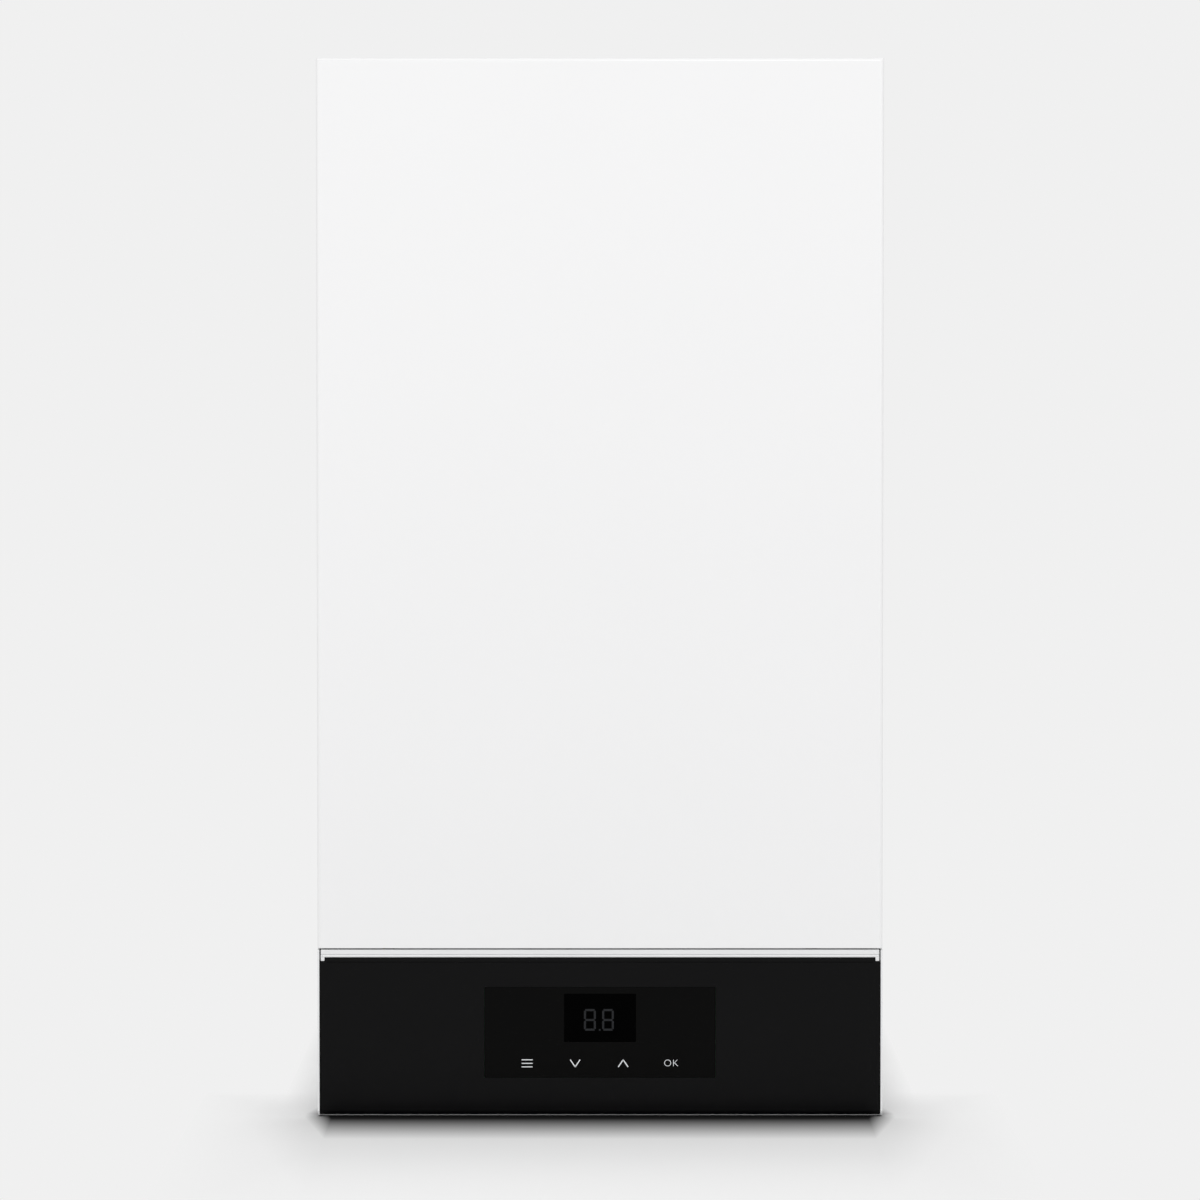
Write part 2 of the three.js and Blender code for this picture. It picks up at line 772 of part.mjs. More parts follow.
addPart(controlUnit, 'control_carrier', controlCarrier(), whitePlastic, [0, hingeY, hingeZ]);
addPart(controlUnit, 'control_fascia', controlFascia(), blackGloss, [0, hingeY, hingeZ]);
addPart(controlUnit, 'trim_strip', trimStrip(), whitePlastic, [0, hingeY, hingeZ]);
addPart(controlUnit, 'touch_panel', touchPanel(), blackGlass, [0, hingeY, hingeZ]);
addPart(controlUnit, 'display_module', displayModule(), boardGreen, [0, hingeY, hingeZ]);
addPart(controlUnit, 'control_housing', controlHousing(), greyPlastic, [0, hingeY, hingeZ]);
addPart(controlUnit, 'housing_lid', housingLid(), greyPlastic, [0, hingeY, hingeZ]);
addPart(controlUnit, 'main_board', mainBoard(), boardGreen, [0, hingeY, hingeZ]);
addPart(controlUnit, 'hinge_bracket_left', hingeBracket(-1), zincSteel);
addPart(controlUnit, 'hinge_bracket_right', hingeBracket(1), zincSteel);

// ---------------------------------------------------------------- heat engine
function exchangerShell() {
  const outer = rod('y', exchangerX, exchangerZ, exchangerRadius, exchangerFront, exchangerBack, 36);
  const cavity = rod('y', exchangerX, exchangerZ, exchangerRadius - exchangerWall,
    exchangerFront + exchangerWall, exchangerBack - exchangerWall, 36);
  const mouth = rod('y', exchangerX, exchangerZ, exchangerMouth, exchangerFront - 1, exchangerFront + 5, 36);
  let shape = outer;
  for (const side of [-1, 1]) {
    shape = shape.add(rod('z', exchangerX + side * portSpacing, portY, portRadius, portBottom,
      exchangerZ - 60));
  }
  shape = shape.add(rod('z', exchangerX, drainY, drainRadius, drainBottom, exchangerZ - 90));
  shape = shape.subtract(cavity).subtract(mouth);
  shape = shape.subtract(rod('z', flueX, flueY, fluePipe - flueWall, exchangerZ, height, 24));
  return shape.subtract(rod('z', exchangerX, drainY, drainRadius - 3, drainBottom - 1, exchangerZ - 90));
}

// Pipe that stands on the shell, over its outlet hole, and is cut to the shell's curve.
function flueOutlet() {
  const clearShell = rod('y', exchangerX, exchangerZ, exchangerRadius + gap, exchangerFront - 1,
    exchangerBack + 1, 36);
  return pipeAlong('z', flueX, flueY, fluePipe, fluePipe - flueWall, exchangerZ + 40, flueTop, 24)
    .subtract(clearShell);
}

// Wound coil, drawn as one sleeve with a rounded step for each turn.
function exchangerCoil() {
  const rear = exchangerBack - exchangerWall - gap;
  const pitch = coilLength / coilTurns;
  const profile = [[coilInner, rear - coilLength]];
  for (let i = 0; i < coilTurns; i += 1) {
    const y = rear - coilLength + i * pitch;
    profile.push([coilOuter - 3, y], [coilOuter, y + 3], [coilOuter, y + pitch - 3]);
  }
  profile.push([coilOuter - 3, rear], [coilInner, rear]);
  return turned('y', exchangerX, exchangerZ, profile, 24);
}

const doorRear = exchangerFront - gasketThickness - 2 * gap;
const doorFront = doorRear - doorThickness;
const angle = THREE.MathUtils.degToRad(electrodeAngle);
const electrodeX = exchangerX + electrodeReach * Math.cos(angle);
const electrodeZ = exchangerZ + electrodeReach * Math.sin(angle);
const electrodeRadius = 3.5;

function burnerDoor() {
  let door = turned('y', exchangerX, exchangerZ, [
    [spigotRadius + gap, doorFront],
    [exchangerMouth, doorFront],
    [exchangerRadius - 1, doorFront + 4],
    [exchangerRadius - 1, doorRear],
    [spigotRadius + gap, doorRear],
  ], 36);
  door = door.subtract(rod('y', electrodeX, electrodeZ, electrodeRadius + gap, doorFront - 1,
    doorRear + 1, 16));
  for (let i = 0; i < 4; i += 1) {
    const boltAngle = (i + 0.5) * Math.PI / 2;
    const reach = exchangerMouth - 10;
    door = door.add(rod('y', exchangerX + reach * Math.cos(boltAngle),
      exchangerZ + reach * Math.sin(boltAngle),
      6, doorFront - 5, doorFront + 1, 6));
  }
  return door;
}

function burnerGasket() {
  return pipeAlong('y', exchangerX, exchangerZ, exchangerRadius - 1, exchangerMouth,
    exchangerFront - gap - gasketThickness, exchangerFront - gap, 32);
}

function burnerTube() {
  const flangeFront = doorRear + gap;
  return turned('y', exchangerX, exchangerZ, [
    [spigotRadius, flangeFront],
    [burnerFlange, flangeFront],
    [burnerFlange, flangeFront + 3],
    [burnerRadius, flangeFront + 3],
    [burnerRadius, flangeFront + burnerLength],
    [0, flangeFront + burnerLength],
    [0, flangeFront + burnerLength - burnerWall],
    [burnerRadius - burnerWall, flangeFront + burnerLength - burnerWall],
    [burnerRadius - burnerWall, flangeFront + burnerWall],
    [spigotRadius, flangeFront + burnerWall],
  ], 24);
}

function ignitionElectrode() {
  return turned('y', electrodeX, electrodeZ, [
    [0, doorFront - 14],
    [electrodeRadius, doorFront - 14],
    [electrodeRadius, doorFront - 3],
    [8, doorFront - 3],
    [8, doorFront - gap],
    [electrodeRadius, doorFront - gap],
    [electrodeRadius, doorRear + 12],
    [1.2, doorRear + 14],
    [1.2, doorRear + 50],
    [0, doorRear + 50],
  ], 10);
}

const ductFront = fanFront - 2;
const ductBack = ductFront + ductDepth;
const ductBottom = exchangerZ - ductHeight / 2;
const ductTop = exchangerZ + ductHeight / 2;

function mixingDuct() {
  const outer = box(exchangerX, ductEnd, ductFront, ductBack, ductBottom, ductTop)
    .add(rod('y', exchangerX, exchangerZ, ductDrum, ductFront, ductBack, 32))
    .add(rod('y', exchangerX, exchangerZ, spigotRadius, ductBack - 1, ductBack + spigotLength, 32));
  const wall = fanWall;
  const inner = box(exchangerX, ductEnd + 1, ductFront + wall, ductBack - wall, ductBottom + wall,
    ductTop - wall)
    .add(rod('y', exchangerX, exchangerZ, ductDrum - wall, ductFront + wall, ductBack - wall, 32))
    .add(rod('y', exchangerX, exchangerZ, spigotRadius - wall, ductBack - wall - 1,
      ductBack + spigotLength + 1, 32));
  return outer.subtract(inner);
}

function fanHousing() {
  const wall = fanWall;
  const outer = rod('y', fanX, fanZ, fanRadius, fanFront, fanBack, 32)
    .add(box(ductEnd + gap, fanX, fanFront, ductBack, ductBottom, ductTop))
    .add(rod('y', fanX, fanZ, venturiRadius, fanFront - venturiLength, fanFront + 1, 32));
  const inner = rod('y', fanX, fanZ, fanRadius - wall, fanFront + wall, fanBack - wall, 32)
    .add(box(ductEnd - 1, fanX, fanFront + wall, ductBack - wall, ductBottom + wall, ductTop - wall));
  return outer.subtract(inner)
    .subtract(rod('y', fanX, fanZ, inletRadius, fanFront - venturiLength - 1, fanFront + wall + 1, 32))
    .subtract(rod('y', fanX, fanZ, shaftRadius + 1, fanBack - wall - 1, fanBack + 1, 16));
}

const shaftRadius = 5;

function fanImpeller() {
  const rear = fanBack - fanWall - 6;
  const mouth = fanFront + fanWall + 4;
  let wheel = rod('y', fanX, fanZ, impellerRadius, rear - 3, rear, 24)
    .add(pipeAlong('y', fanX, fanZ, impellerRadius, inletRadius + 8, mouth, mouth + 3, 24))
    .add(rod('y', fanX, fanZ, shaftRadius, rear - 20, fanBack, 12));
  const blade = box(inletRadius + 10, impellerRadius - 1, mouth + 2, rear - 2, -1, 1);
  for (let i = 0; i < impellerBlades; i += 1) {
    wheel = wheel.add(blade.rotate([0, i * 360 / impellerBlades, 0]).translate([fanX, 0, fanZ]));
  }
  return wheel;
}

function fanMotor() {
  const start = fanBack + gap;
  return turned('y', fanX, fanZ, [
    [0, start],
    [fanMotorRadius - 8, start],
    [fanMotorRadius, start + 4],
    [fanMotorRadius, start + fanMotorLength - 6],
    [fanMotorRadius - 6, start + fanMotorLength],
    [0, start + fanMotorLength],
  ], 32);
}

function gasValve() {
  const x0 = fanX - valveWidth / 2;
  const x1 = fanX + valveWidth / 2;
  return box(x0, x1, valveFront, valveBack, valveBottom, valveTop)
    .add(rod('y', fanX, valveBottom + 30, 18, valveFront - 12, valveFront + 1))
    .add(rod('y', fanX, valveBottom + 66, 14, valveFront - 8, valveFront + 1))
    .add(rod('z', fanX, gasRiserY, gasPipeRadius + 4, valveBottom - 6, valveBottom + 1, 6))
    .add(rod('z', fanX, gasRiserY, gasPipeRadius + 4, valveTop - 1, valveTop + 4, 6));
}

function gasPipeUpper() {
  const frontY = fanFront - venturiLength / 2 - 1.5;
  const start = valveTop + 4 + gap;
  return bentPipe([
    [fanX, gasRiserY, start],
    [fanX, gasRiserY, start + 3 + gasPipeRadius / 2],
    [fanX, frontY, start + 3 + gasPipeRadius / 2],
    [fanX, frontY, fanZ - venturiRadius - gap],
  ], gasPipeRadius, gasPipeRadius - 1, 5.5, pipeSides);
}

const gasCrossZ = valveBottom - 55;
const gasElbowZ = 54;
const gasElbowY = tailY - 45;

function gasPipeLower() {
  return bentPipe([
    [0, tailY, tailBottom],
    [0, tailY, gasElbowZ],
    [0, gasElbowY, gasElbowZ],
    [0, gasElbowY, gasCrossZ],
    [0, gasRiserY, gasCrossZ],
    [fanX, gasRiserY, gasCrossZ],
    [fanX, gasRiserY, valveBottom - 6 - gap],
  ], pipeRadius, pipeBore, pipeBend, pipeSides);
}

// Socket that the flue pipe pushes into, seated over the outlet.
function flueSocket() {
  const innerRadius = fluePipe + gap;
  return pipeAlong('z', flueX, flueY, innerRadius + collarInner, innerRadius,
    flueTop - socketOverlap, topPanelBottom - gap, 28);
}

// Outer collar of the concentric flue, hung under the top panel by its flange.
function flueCollar() {
  const top = topPanelBottom - gap;
  return turned('z', flueX, flueY, [
    [airPipe - collarInner, flueTop],
    [airPipe, flueTop],
    [airPipe, top - 3],
    [collarFlange, top - 3],
    [collarFlange, top],
    [airPipe - collarInner, top],
  ], 28);
}

function exchangerBracket() {
  const x0 = exchangerX - 30;
  const x1 = flueX - fluePipe - collarInner - 1;
  const beamBottom = bracketTop + 1;
  const arm = box(x0, x1, portY - 20, vesselRear, beamBottom, beamBottom + 3);
  const leg = box(x0, x1, portY, portY + 3, exchangerZ + exchangerRadius + gap, beamBottom + 1);
  const foot = box(x0, x1, vesselRear - 3, vesselRear, beamBottom, beamBottom + 20);
  return arm.add(leg).add(foot);
}

const transformerBottom = exchangerZ - 6;
const transformerTop = exchangerZ + 44;
const transformerFront = exchangerFront + 20;

function ignitionTransformer() {
  const x0 = -halfWidth + sheet + gap;
  return box(x0, x0 + 33, transformerFront, transformerFront + 50, transformerBottom, transformerTop)
    .add(box(x0, x0 + 2, transformerFront - 10, transformerFront + 60,
      transformerBottom + 10, transformerBottom + 30));
}

function expansionVessel() {
  const rear = vesselRear;
  const shell = (inset) => turned('y', 0, vesselZ, [
    [0, rear - vesselDepth + inset],
    [vesselRadius - vesselEdge, rear - vesselDepth + inset],
    [vesselRadius - inset, rear - vesselDepth + vesselEdge],
    [vesselRadius - inset, rear - vesselEdge],
    [vesselRadius - vesselEdge, rear - inset],
    [0, rear - inset],
  ], 36);
  const portMiddle = rear - vesselDepth / 2;
  const portTop = vesselZ - vesselRadius + 8;
  return shell(0)
    .add(rod('z', 0, portMiddle, 9, portTop - 20, portTop, 6))
    .subtract(shell(vesselWall))
    .subtract(rod('z', 0, portMiddle, 4, portTop - 21, portTop + 1, 12));
}

addPart(heatEngine, 'heat_exchanger_shell', exchangerShell(), stainless, [exchangerX, 0, exchangerZ]);
addPart(heatEngine, 'heat_exchanger_coil', exchangerCoil(), stainless, [exchangerX, 0, exchangerZ]);
addPart(heatEngine, 'burner_door', burnerDoor(), castAluminium, [exchangerX, 0, exchangerZ]);
addPart(heatEngine, 'burner_gasket', burnerGasket(), rubber, [exchangerX, 0, exchangerZ]);
addPart(heatEngine, 'burner_tube', burnerTube(), stainless, [exchangerX, 0, exchangerZ]);
addPart(heatEngine, 'ignition_electrode', ignitionElectrode(), ceramic, [electrodeX, 0, electrodeZ]);
addPart(heatEngine, 'mixing_duct', mixingDuct(), castAluminium, [exchangerX, 0, exchangerZ]);
addPart(heatEngine, 'fan_housing', fanHousing(), castAluminium, [fanX, 0, fanZ]);
addPart(heatEngine, 'fan_impeller', fanImpeller(), greyPlastic, [fanX, 0, fanZ]);
addPart(heatEngine, 'fan_motor', fanMotor(), greyPlastic, [fanX, 0, fanZ]);
addPart(heatEngine, 'gas_valve', gasValve(), castAluminium, [fanX, 0, valveBottom]);
addPart(heatEngine, 'gas_pipe_upper', gasPipeUpper(), copper, [fanX, 0, valveTop]);
addPart(heatEngine, 'gas_pipe_lower', gasPipeLower(), copper, [0, tailY, 0]);
addPart(heatEngine, 'flue_collar', flueCollar(), flueWhite, [flueX, flueY, flueTop]);
addPart(heatEngine, 'flue_outlet', flueOutlet(), flueWhite, [flueX, flueY, flueTop]);
addPart(heatEngine, 'flue_socket', flueSocket(), flueWhite, [flueX, flueY, flueTop]);
addPart(heatEngine, 'heat_exchanger_bracket', exchangerBracket(), zincSteel);
addPart(heatEngine, 'ignition_transformer', ignitionTransformer(), greyPlastic);
addPart(heatEngine, 'expansion_vessel', expansionVessel(), redPaint, [0, 0, vesselZ]);

// ---------------------------------------------------------------- hydraulics
const pumpFront = blockFront - gap - voluteLength;
const ventRadius = 12;
const ventLength = 20;
const ventY = pumpFront + 23;
const safetyX = blockInner + 60;
const safetyZ = 182;
const safetyReach = 35;
const diverterX = -2 * tailPitch;
const diverterZ = 150;
const spindleRadius = 4;
const spindleTravel = 6;
const spindleLength = 30;
const turbineLength = 12;
const turbineBottom = 46;

// One side of the water manifold: an upright block, a low arm towards the middle and two tails.
function waterBlock(side) {
  const innerX = tailPitch - tailRadius - 3;
  let block = box(blockInner, blockOuter, blockFront, blockBack, blockBottom, blockTop)
    .add(box(innerX, blockOuter, tailY - manifoldDepth / 2, tailY + manifoldDepth / 2,
      manifoldBottom, manifoldTop))
    .add(rod('y', blockInner + knobRadius, cockZ, knobRadius - 3, blockFront - 2, tailY, 16))
    .add(rod('z', (tailPitch * 2 + blockInner) / 2 + 14, tailY, portRadius, blockTop - 1, blockTop + 8, 6));
  for (const x of [tailPitch, 2 * tailPitch]) {
    block = block
      .add(rod('z', x, tailY, tailRadius, tailBottom, manifoldBottom + 1))
      .add(rod('z', x, tailY, tailRadius + 3, tailBottom + 6, tailBottom + 18, 6));
  }
  for (const x of [tailPitch, 2 * tailPitch]) {
    block = block.subtract(rod('z', x, tailY, tailBore, tailBottom - 1, manifoldTop - 4));
  }
  return side > 0 ? block : mirroredX(block);
}

const portX = (tailPitch * 2 + blockInner) / 2 + 14;
const portTop = blockTop + 8 + gap;

function flowBlock() {
  return waterBlock(-1).subtract(rod('y', diverterX, diverterZ, spindleRadius + gap,
    blockFront - 1, blockFront + spindleLength + spindleTravel + 5, 16));
}

function returnBlock() {
  return waterBlock(1)
    .add(rod('y', safetyX, safetyZ, portRadius, blockFront - safetyReach, blockFront + 1))
    .add(rod('y', safetyX, safetyZ, portRadius + 3, blockFront - 14, blockFront - 6, 6));
}

function plateHeatExchanger() {
  const x = blockInner - gap;
  const pitch = (plateBack - plateFront) / plateCount;
  let stack = box(-x + 2, x - 2, plateFront, plateBack, plateBottom + 2, plateTop - 2);
  for (let i = 0; i < plateCount; i += 1) {
    const y = plateFront + i * pitch;
    stack = stack.add(box(-x, x, y, y + pitch / 2, plateBottom, plateTop));
  }
  return stack;
}

function pumpVolute() {
  const body = rod('y', pumpX, pumpZ, voluteRadius, pumpFront, blockFront - gap, 32)
    .subtract(rod('y', pumpX, pumpZ, pumpCavity, pumpFront - 1, pumpFront + pumpCavityDepth, 32));
  const ventBase = pumpZ + voluteRadius - 3;
  return body.add(rod('z', pumpX, ventY, ventRadius, ventBase, ventBase + ventLength));
}

function pumpImpeller() {
  const rear = pumpFront + pumpCavityDepth - 4;
  let wheel = rod('y', pumpX, pumpZ, pumpCavity - 5, rear - 3, rear, 32)
    .add(rod('y', pumpX, pumpZ, spindleRadius, pumpFront, rear, 16));
  const blade = box(8, pumpCavity - 6, pumpFront + 5, rear - 2, -1, 1);
  for (let i = 0; i < 6; i += 1) {
    wheel = wheel.add(blade.rotate([0, i * 60, 0]).translate([pumpX, 0, pumpZ]));
  }
  return wheel.add(rod('y', pumpX, pumpZ, 10, pumpFront + 4, rear - 1, 16));
}

function pumpMotor() {
  const rear = pumpFront - gap;
  return turned('y', pumpX, pumpZ, [
    [0, rear - pumpMotorLength],
    [pumpMotorRadius - 6, rear - pumpMotorLength],
    [pumpMotorRadius, rear - pumpMotorLength + 6],
    [pumpMotorRadius, rear - 8],
    [voluteRadius, rear - 8],
    [voluteRadius, rear],
    [0, rear],
  ], 32);
}

function ventCap() {
  const bottom = pumpZ + voluteRadius - 3 + ventLength + gap;
  return turned('z', pumpX, ventY, [
    [0, bottom], [ventRadius - 3, bottom], [ventRadius - 3, bottom + 10], [ventRadius - 5, bottom + 12],
    [0, bottom + 12],
  ], 16).add(box(pumpX - 2, pumpX + 2, ventY - ventRadius, ventY + ventRadius, bottom + 2, bottom + 8));
}

function diverterMotor() {
  const rear = blockFront - gap;
  return box(diverterX - 22, diverterX + 22, rear - 34, rear, diverterZ - 28, diverterZ + 28)
    .add(box(diverterX - 12, diverterX + 12, rear - 46, rear - 33, diverterZ - 26, diverterZ - 8));
}

function diverterSpindle() {
  return rod('y', diverterX, diverterZ, spindleRadius, blockFront, blockFront + spindleLength, 16);
}

function flowTurbine() {
  const radius = tailBore - 1;
  let wheel = rod('z', tailPitch, tailY, 2, turbineBottom, turbineBottom + turbineLength, 12);
  const blade = box(1, radius, -0.6, 0.6, turbineBottom + 1, turbineBottom + turbineLength - 1);
  for (let i = 0; i < 4; i += 1) {
    wheel = wheel.add(blade.rotate([0, 0, i * 90]).translate([tailPitch, tailY, 0]));
  }
  return wheel;
}

// Round knob on an axis along Y, with a grip bar across its face.
function turnKnob(x, z, radius, rear) {
  return rod('y', x, z, radius, rear - knobLength, rear, 16)
    .add(box(x - 2, x + 2, rear - knobLength - 5, rear - knobLength + 1, z - radius + 1, z + radius - 1));
}

function waterPipe(side, exchangerPortX) {
  const turnZ = portBottom - 150;
  return bentPipe([
    [exchangerPortX, portY, portBottom - gap],
    [exchangerPortX, portY, turnZ],
    [side * portX, tailY, turnZ],
    [side * portX, tailY, portTop],
  ], pipeRadius, pipeBore, pipeBend, pipeSides);
}

function siphonBody() {
  return turned('z', siphonX, siphonY, [
    [siphonRadius - 3, baseHeight + sheet + 20],
    [siphonRadius, baseHeight + sheet + 20],
    [siphonRadius, siphonTop - 20],
    [pipeRadius, siphonTop - 8],
    [pipeRadius, siphonTop],
    [pipeBore - 1, siphonTop],
    [pipeBore - 1, siphonTop - 10],
    [siphonRadius - 3, siphonTop - 23],
  ], 20);
}

function siphonCup() {
  const top = baseHeight + sheet + 20 - gap;
  return turned('z', siphonX, siphonY, [
    [0, cupBottom],
    [cupRadius - 4, cupBottom],
    [cupRadius, cupBottom + 4],
    [cupRadius, top],
    [cupRadius - 3, top],
    [cupRadius - 3, cupBottom + 6],
    [cupRadius - 6, cupBottom + 3],
    [0, cupBottom + 3],
  ], 20).add(box(siphonX - 2, siphonX + 2, siphonY - cupRadius - 3, siphonY - cupRadius + 1,
    cupBottom + 4, baseHeight - 6));
}

function condensateHose() {
  return bentPipe([
    [exchangerX, drainY, drainBottom - gap],
    [exchangerX, drainY, drainBottom - 52],
    [siphonX, siphonY, siphonTop + 60],
    [siphonX, siphonY, siphonTop + gap],
  ], pipeRadius, pipeBore - 1, hoseBend, pipeSides);
}

function cableGland() {
  return turned('z', glandX, glandY, [
    [5, baseHeight - 14],
    [10, baseHeight - 14],
    [12, baseHeight - 8],
    [12, baseHeight - gap],
    [glandRadius, baseHeight - gap],
    [glandRadius, baseHeight + sheet + gap],
    [12, baseHeight + sheet + gap],
    [12, baseHeight + sheet + 6],
    [5, baseHeight + sheet + 6],
  ], 12);
}

const cockX = blockInner + knobRadius;
const cockRear = blockFront - 2 - gap;
const safetyRear = blockFront - safetyReach - gap;

addPart(hydraulics, 'flow_block', flowBlock(), brass);
addPart(hydraulics, 'return_block', returnBlock(), brass);
addPart(hydraulics, 'plate_heat_exchanger', plateHeatExchanger(), stainless);
addPart(hydraulics, 'pump_volute', pumpVolute(), greyPlastic, [pumpX, 0, pumpZ]);
addPart(hydraulics, 'pump_impeller', pumpImpeller(), greyPlastic, [pumpX, 0, pumpZ]);
addPart(hydraulics, 'pump_motor', pumpMotor(), castAluminium, [pumpX, 0, pumpZ]);
addPart(hydraulics, 'air_vent_cap', ventCap(), greyPlastic, [pumpX, ventY, pumpZ]);
addPart(hydraulics, 'diverter_motor', diverterMotor(), greyPlastic, [diverterX, 0, diverterZ]);
addPart(hydraulics, 'diverter_spindle', diverterSpindle(), stainless, [diverterX, 0, diverterZ]);
addPart(hydraulics, 'flow_turbine', flowTurbine(), greyPlastic, [tailPitch, tailY, turbineBottom]);
addPart(hydraulics, 'safety_valve_knob', turnKnob(safetyX, safetyZ, portRadius + 3, safetyRear), redPlastic,
  [safetyX, 0, safetyZ]);
addPart(hydraulics, 'drain_valve_knob', turnKnob(-cockX, cockZ, knobRadius - 1, cockRear), greyPlastic,
  [-cockX, 0, cockZ]);
addPart(hydraulics, 'fill_valve_knob', turnKnob(cockX, cockZ, knobRadius - 1, cockRear), bluePlastic,
  [cockX, 0, cockZ]);
addPart(hydraulics, 'flow_pipe', waterPipe(-1, exchangerX - portSpacing), copper);
addPart(hydraulics, 'return_pipe', waterPipe(1, exchangerX + portSpacing), copper);
addPart(hydraulics, 'siphon_body', siphonBody(), flueWhite, [siphonX, siphonY, 0]);
addPart(hydraulics, 'siphon_cup', siphonCup(), greyPlastic, [siphonX, siphonY, 0]);
addPart(hydraulics, 'condensate_hose', condensateHose(), rubber);
addPart(hydraulics, 'cable_gland', cableGland(), greyPlastic, [glandX, glandY, baseHeight]);

export default boiler;
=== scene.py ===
"""Looks of a wall-hung combi boiler: finishes, rounded sheet metal, touch panel, screws and inner fittings."""
import json
import math

import bpy
import bmesh
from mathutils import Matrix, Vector


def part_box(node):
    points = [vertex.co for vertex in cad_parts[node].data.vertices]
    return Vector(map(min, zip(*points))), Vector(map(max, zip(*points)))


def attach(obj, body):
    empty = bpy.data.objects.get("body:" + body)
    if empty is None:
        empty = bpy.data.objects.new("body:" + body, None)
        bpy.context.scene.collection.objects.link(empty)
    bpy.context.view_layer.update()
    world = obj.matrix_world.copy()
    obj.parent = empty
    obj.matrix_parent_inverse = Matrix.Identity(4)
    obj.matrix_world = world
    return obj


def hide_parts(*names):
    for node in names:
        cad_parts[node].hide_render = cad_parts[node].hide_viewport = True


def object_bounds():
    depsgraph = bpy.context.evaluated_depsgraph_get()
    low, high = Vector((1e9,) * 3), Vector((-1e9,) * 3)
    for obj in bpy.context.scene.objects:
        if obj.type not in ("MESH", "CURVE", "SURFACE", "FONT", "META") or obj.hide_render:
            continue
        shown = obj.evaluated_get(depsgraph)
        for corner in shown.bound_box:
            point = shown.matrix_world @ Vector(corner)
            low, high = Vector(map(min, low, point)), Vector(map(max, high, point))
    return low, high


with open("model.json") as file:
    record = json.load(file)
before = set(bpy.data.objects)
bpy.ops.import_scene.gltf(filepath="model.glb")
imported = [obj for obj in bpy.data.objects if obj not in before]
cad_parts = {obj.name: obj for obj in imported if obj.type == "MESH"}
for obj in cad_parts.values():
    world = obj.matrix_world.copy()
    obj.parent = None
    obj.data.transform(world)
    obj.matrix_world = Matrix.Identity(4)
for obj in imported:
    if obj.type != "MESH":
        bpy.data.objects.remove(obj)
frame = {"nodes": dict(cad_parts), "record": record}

bl_info = {
    "name": "Combi Boiler Looks",
    "version": (1, 0, 0),
    "blender": (4, 5, 0),
    "location": "View3D > Sidebar > Boiler",
    "description": "Dresses the packed boiler model with finishes and fine detail",
    "category": "Object",
}

MM = 0.001
CAD_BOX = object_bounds()
BODY_OF = {node: body for body, nodes in frame["record"]["behaviour"]["bodies"].items()
           for node in nodes}
SLOT_OF = {entry["node"]: entry["material_slot"] for entry in frame["record"]["subparts"]}


# ---------------------------------------------------------------- settings
def colour(name, description, default):
    return bpy.props.FloatVectorProperty(
        name=name, description=description, subtype="COLOR", size=3, min=0, max=1, default=default)


def length(name, description, default):
    return bpy.props.FloatProperty(
        name=name, description=description, subtype="DISTANCE", unit="LENGTH", default=default)


def number(name, description, default):
    return bpy.props.FloatProperty(name=name, description=description, default=default)


class BoilerFinish(bpy.types.PropertyGroup):
    """Colours of the boiler's visible surfaces, as linear values."""
    paint: colour("Casing paint", "Powder coat on the casing", (0.868, 0.868, 0.871))
    trim: colour("White plastic", "Moulded rim and trim strip", (0.78, 0.785, 0.79))
    fascia: colour("Black plastic", "Gloss black front of the control unit", (0.0028, 0.0028, 0.003))
    glass: colour("Touch panel", "Smoked panel over the keys", (0.0011, 0.0011, 0.001))
    mark: colour("Key marks", "Printed marks on the touch panel", (0.8, 0.82, 0.84))
    # also the colour of the bar of painted highlight under the touch panel
    figure: colour("Unlit figures", "Figures of the display when it is off", (0.022, 0.023, 0.025))


class BoilerEdges(bpy.types.PropertyGroup):
    """Radii that soften the casing's folds and moulded edges."""
    cover_radius: length("Cover edge", "Rounded front edge of the cover", 3.0 * MM)
    sheet_edge: length("Sheet edge", "Softened edge of folded sheet metal", 0.35 * MM)
    moulded_edge: length("Moulded edge", "Softened edge of moulded parts", 0.5 * MM)
    cast_edge: length("Cast edge", "Softened edge of castings", 1.0 * MM)


class BoilerStage(bpy.types.PropertyGroup):
    """Camera, background and lamps."""
    distance: length("Camera distance", "From the lens to the boiler's front face", 4.0)
    pitch: number("Camera pitch", "How far the camera looks down, in degrees", 2.2)
    frame_width: length("Frame width", "Width that the picture covers at the front face", 0.8472)
    frame_middle: length("Frame middle", "Height at the middle of the picture", 0.3664)
    background: number("Background", "Brightness of the backdrop, where 1 is white", 0.872)
    daylight: number("Daylight", "Strength of the even light on the boiler", 0.72)
    floor_tone: number("Floor tone", "How much of the light the floor gives back", 0.86)


# ---------------------------------------------------------------- shader tools
def arithmetic(operation, swap=False):
    return lambda self, other: self.math(operation, other, swap)


class Sock:
    """A shader value: arithmetic on it adds Math nodes."""

    def __init__(self, shader, socket):
        self.shader = shader
        self.socket = socket

    def math(self, operation, other, swap=False):
        pair = (other, self) if swap else (self, other)
        return self.shader.node("ShaderNodeMath", {"operation": operation}, {0: pair[0], 1: pair[1]})

    __add__ = arithmetic("ADD")
    __radd__ = arithmetic("ADD", True)
    __sub__ = arithmetic("SUBTRACT")
    __rsub__ = arithmetic("SUBTRACT", True)
    __mul__ = arithmetic("MULTIPLY")
    __truediv__ = arithmetic("DIVIDE")
    most = arithmetic("MAXIMUM")
    least = arithmetic("MINIMUM")


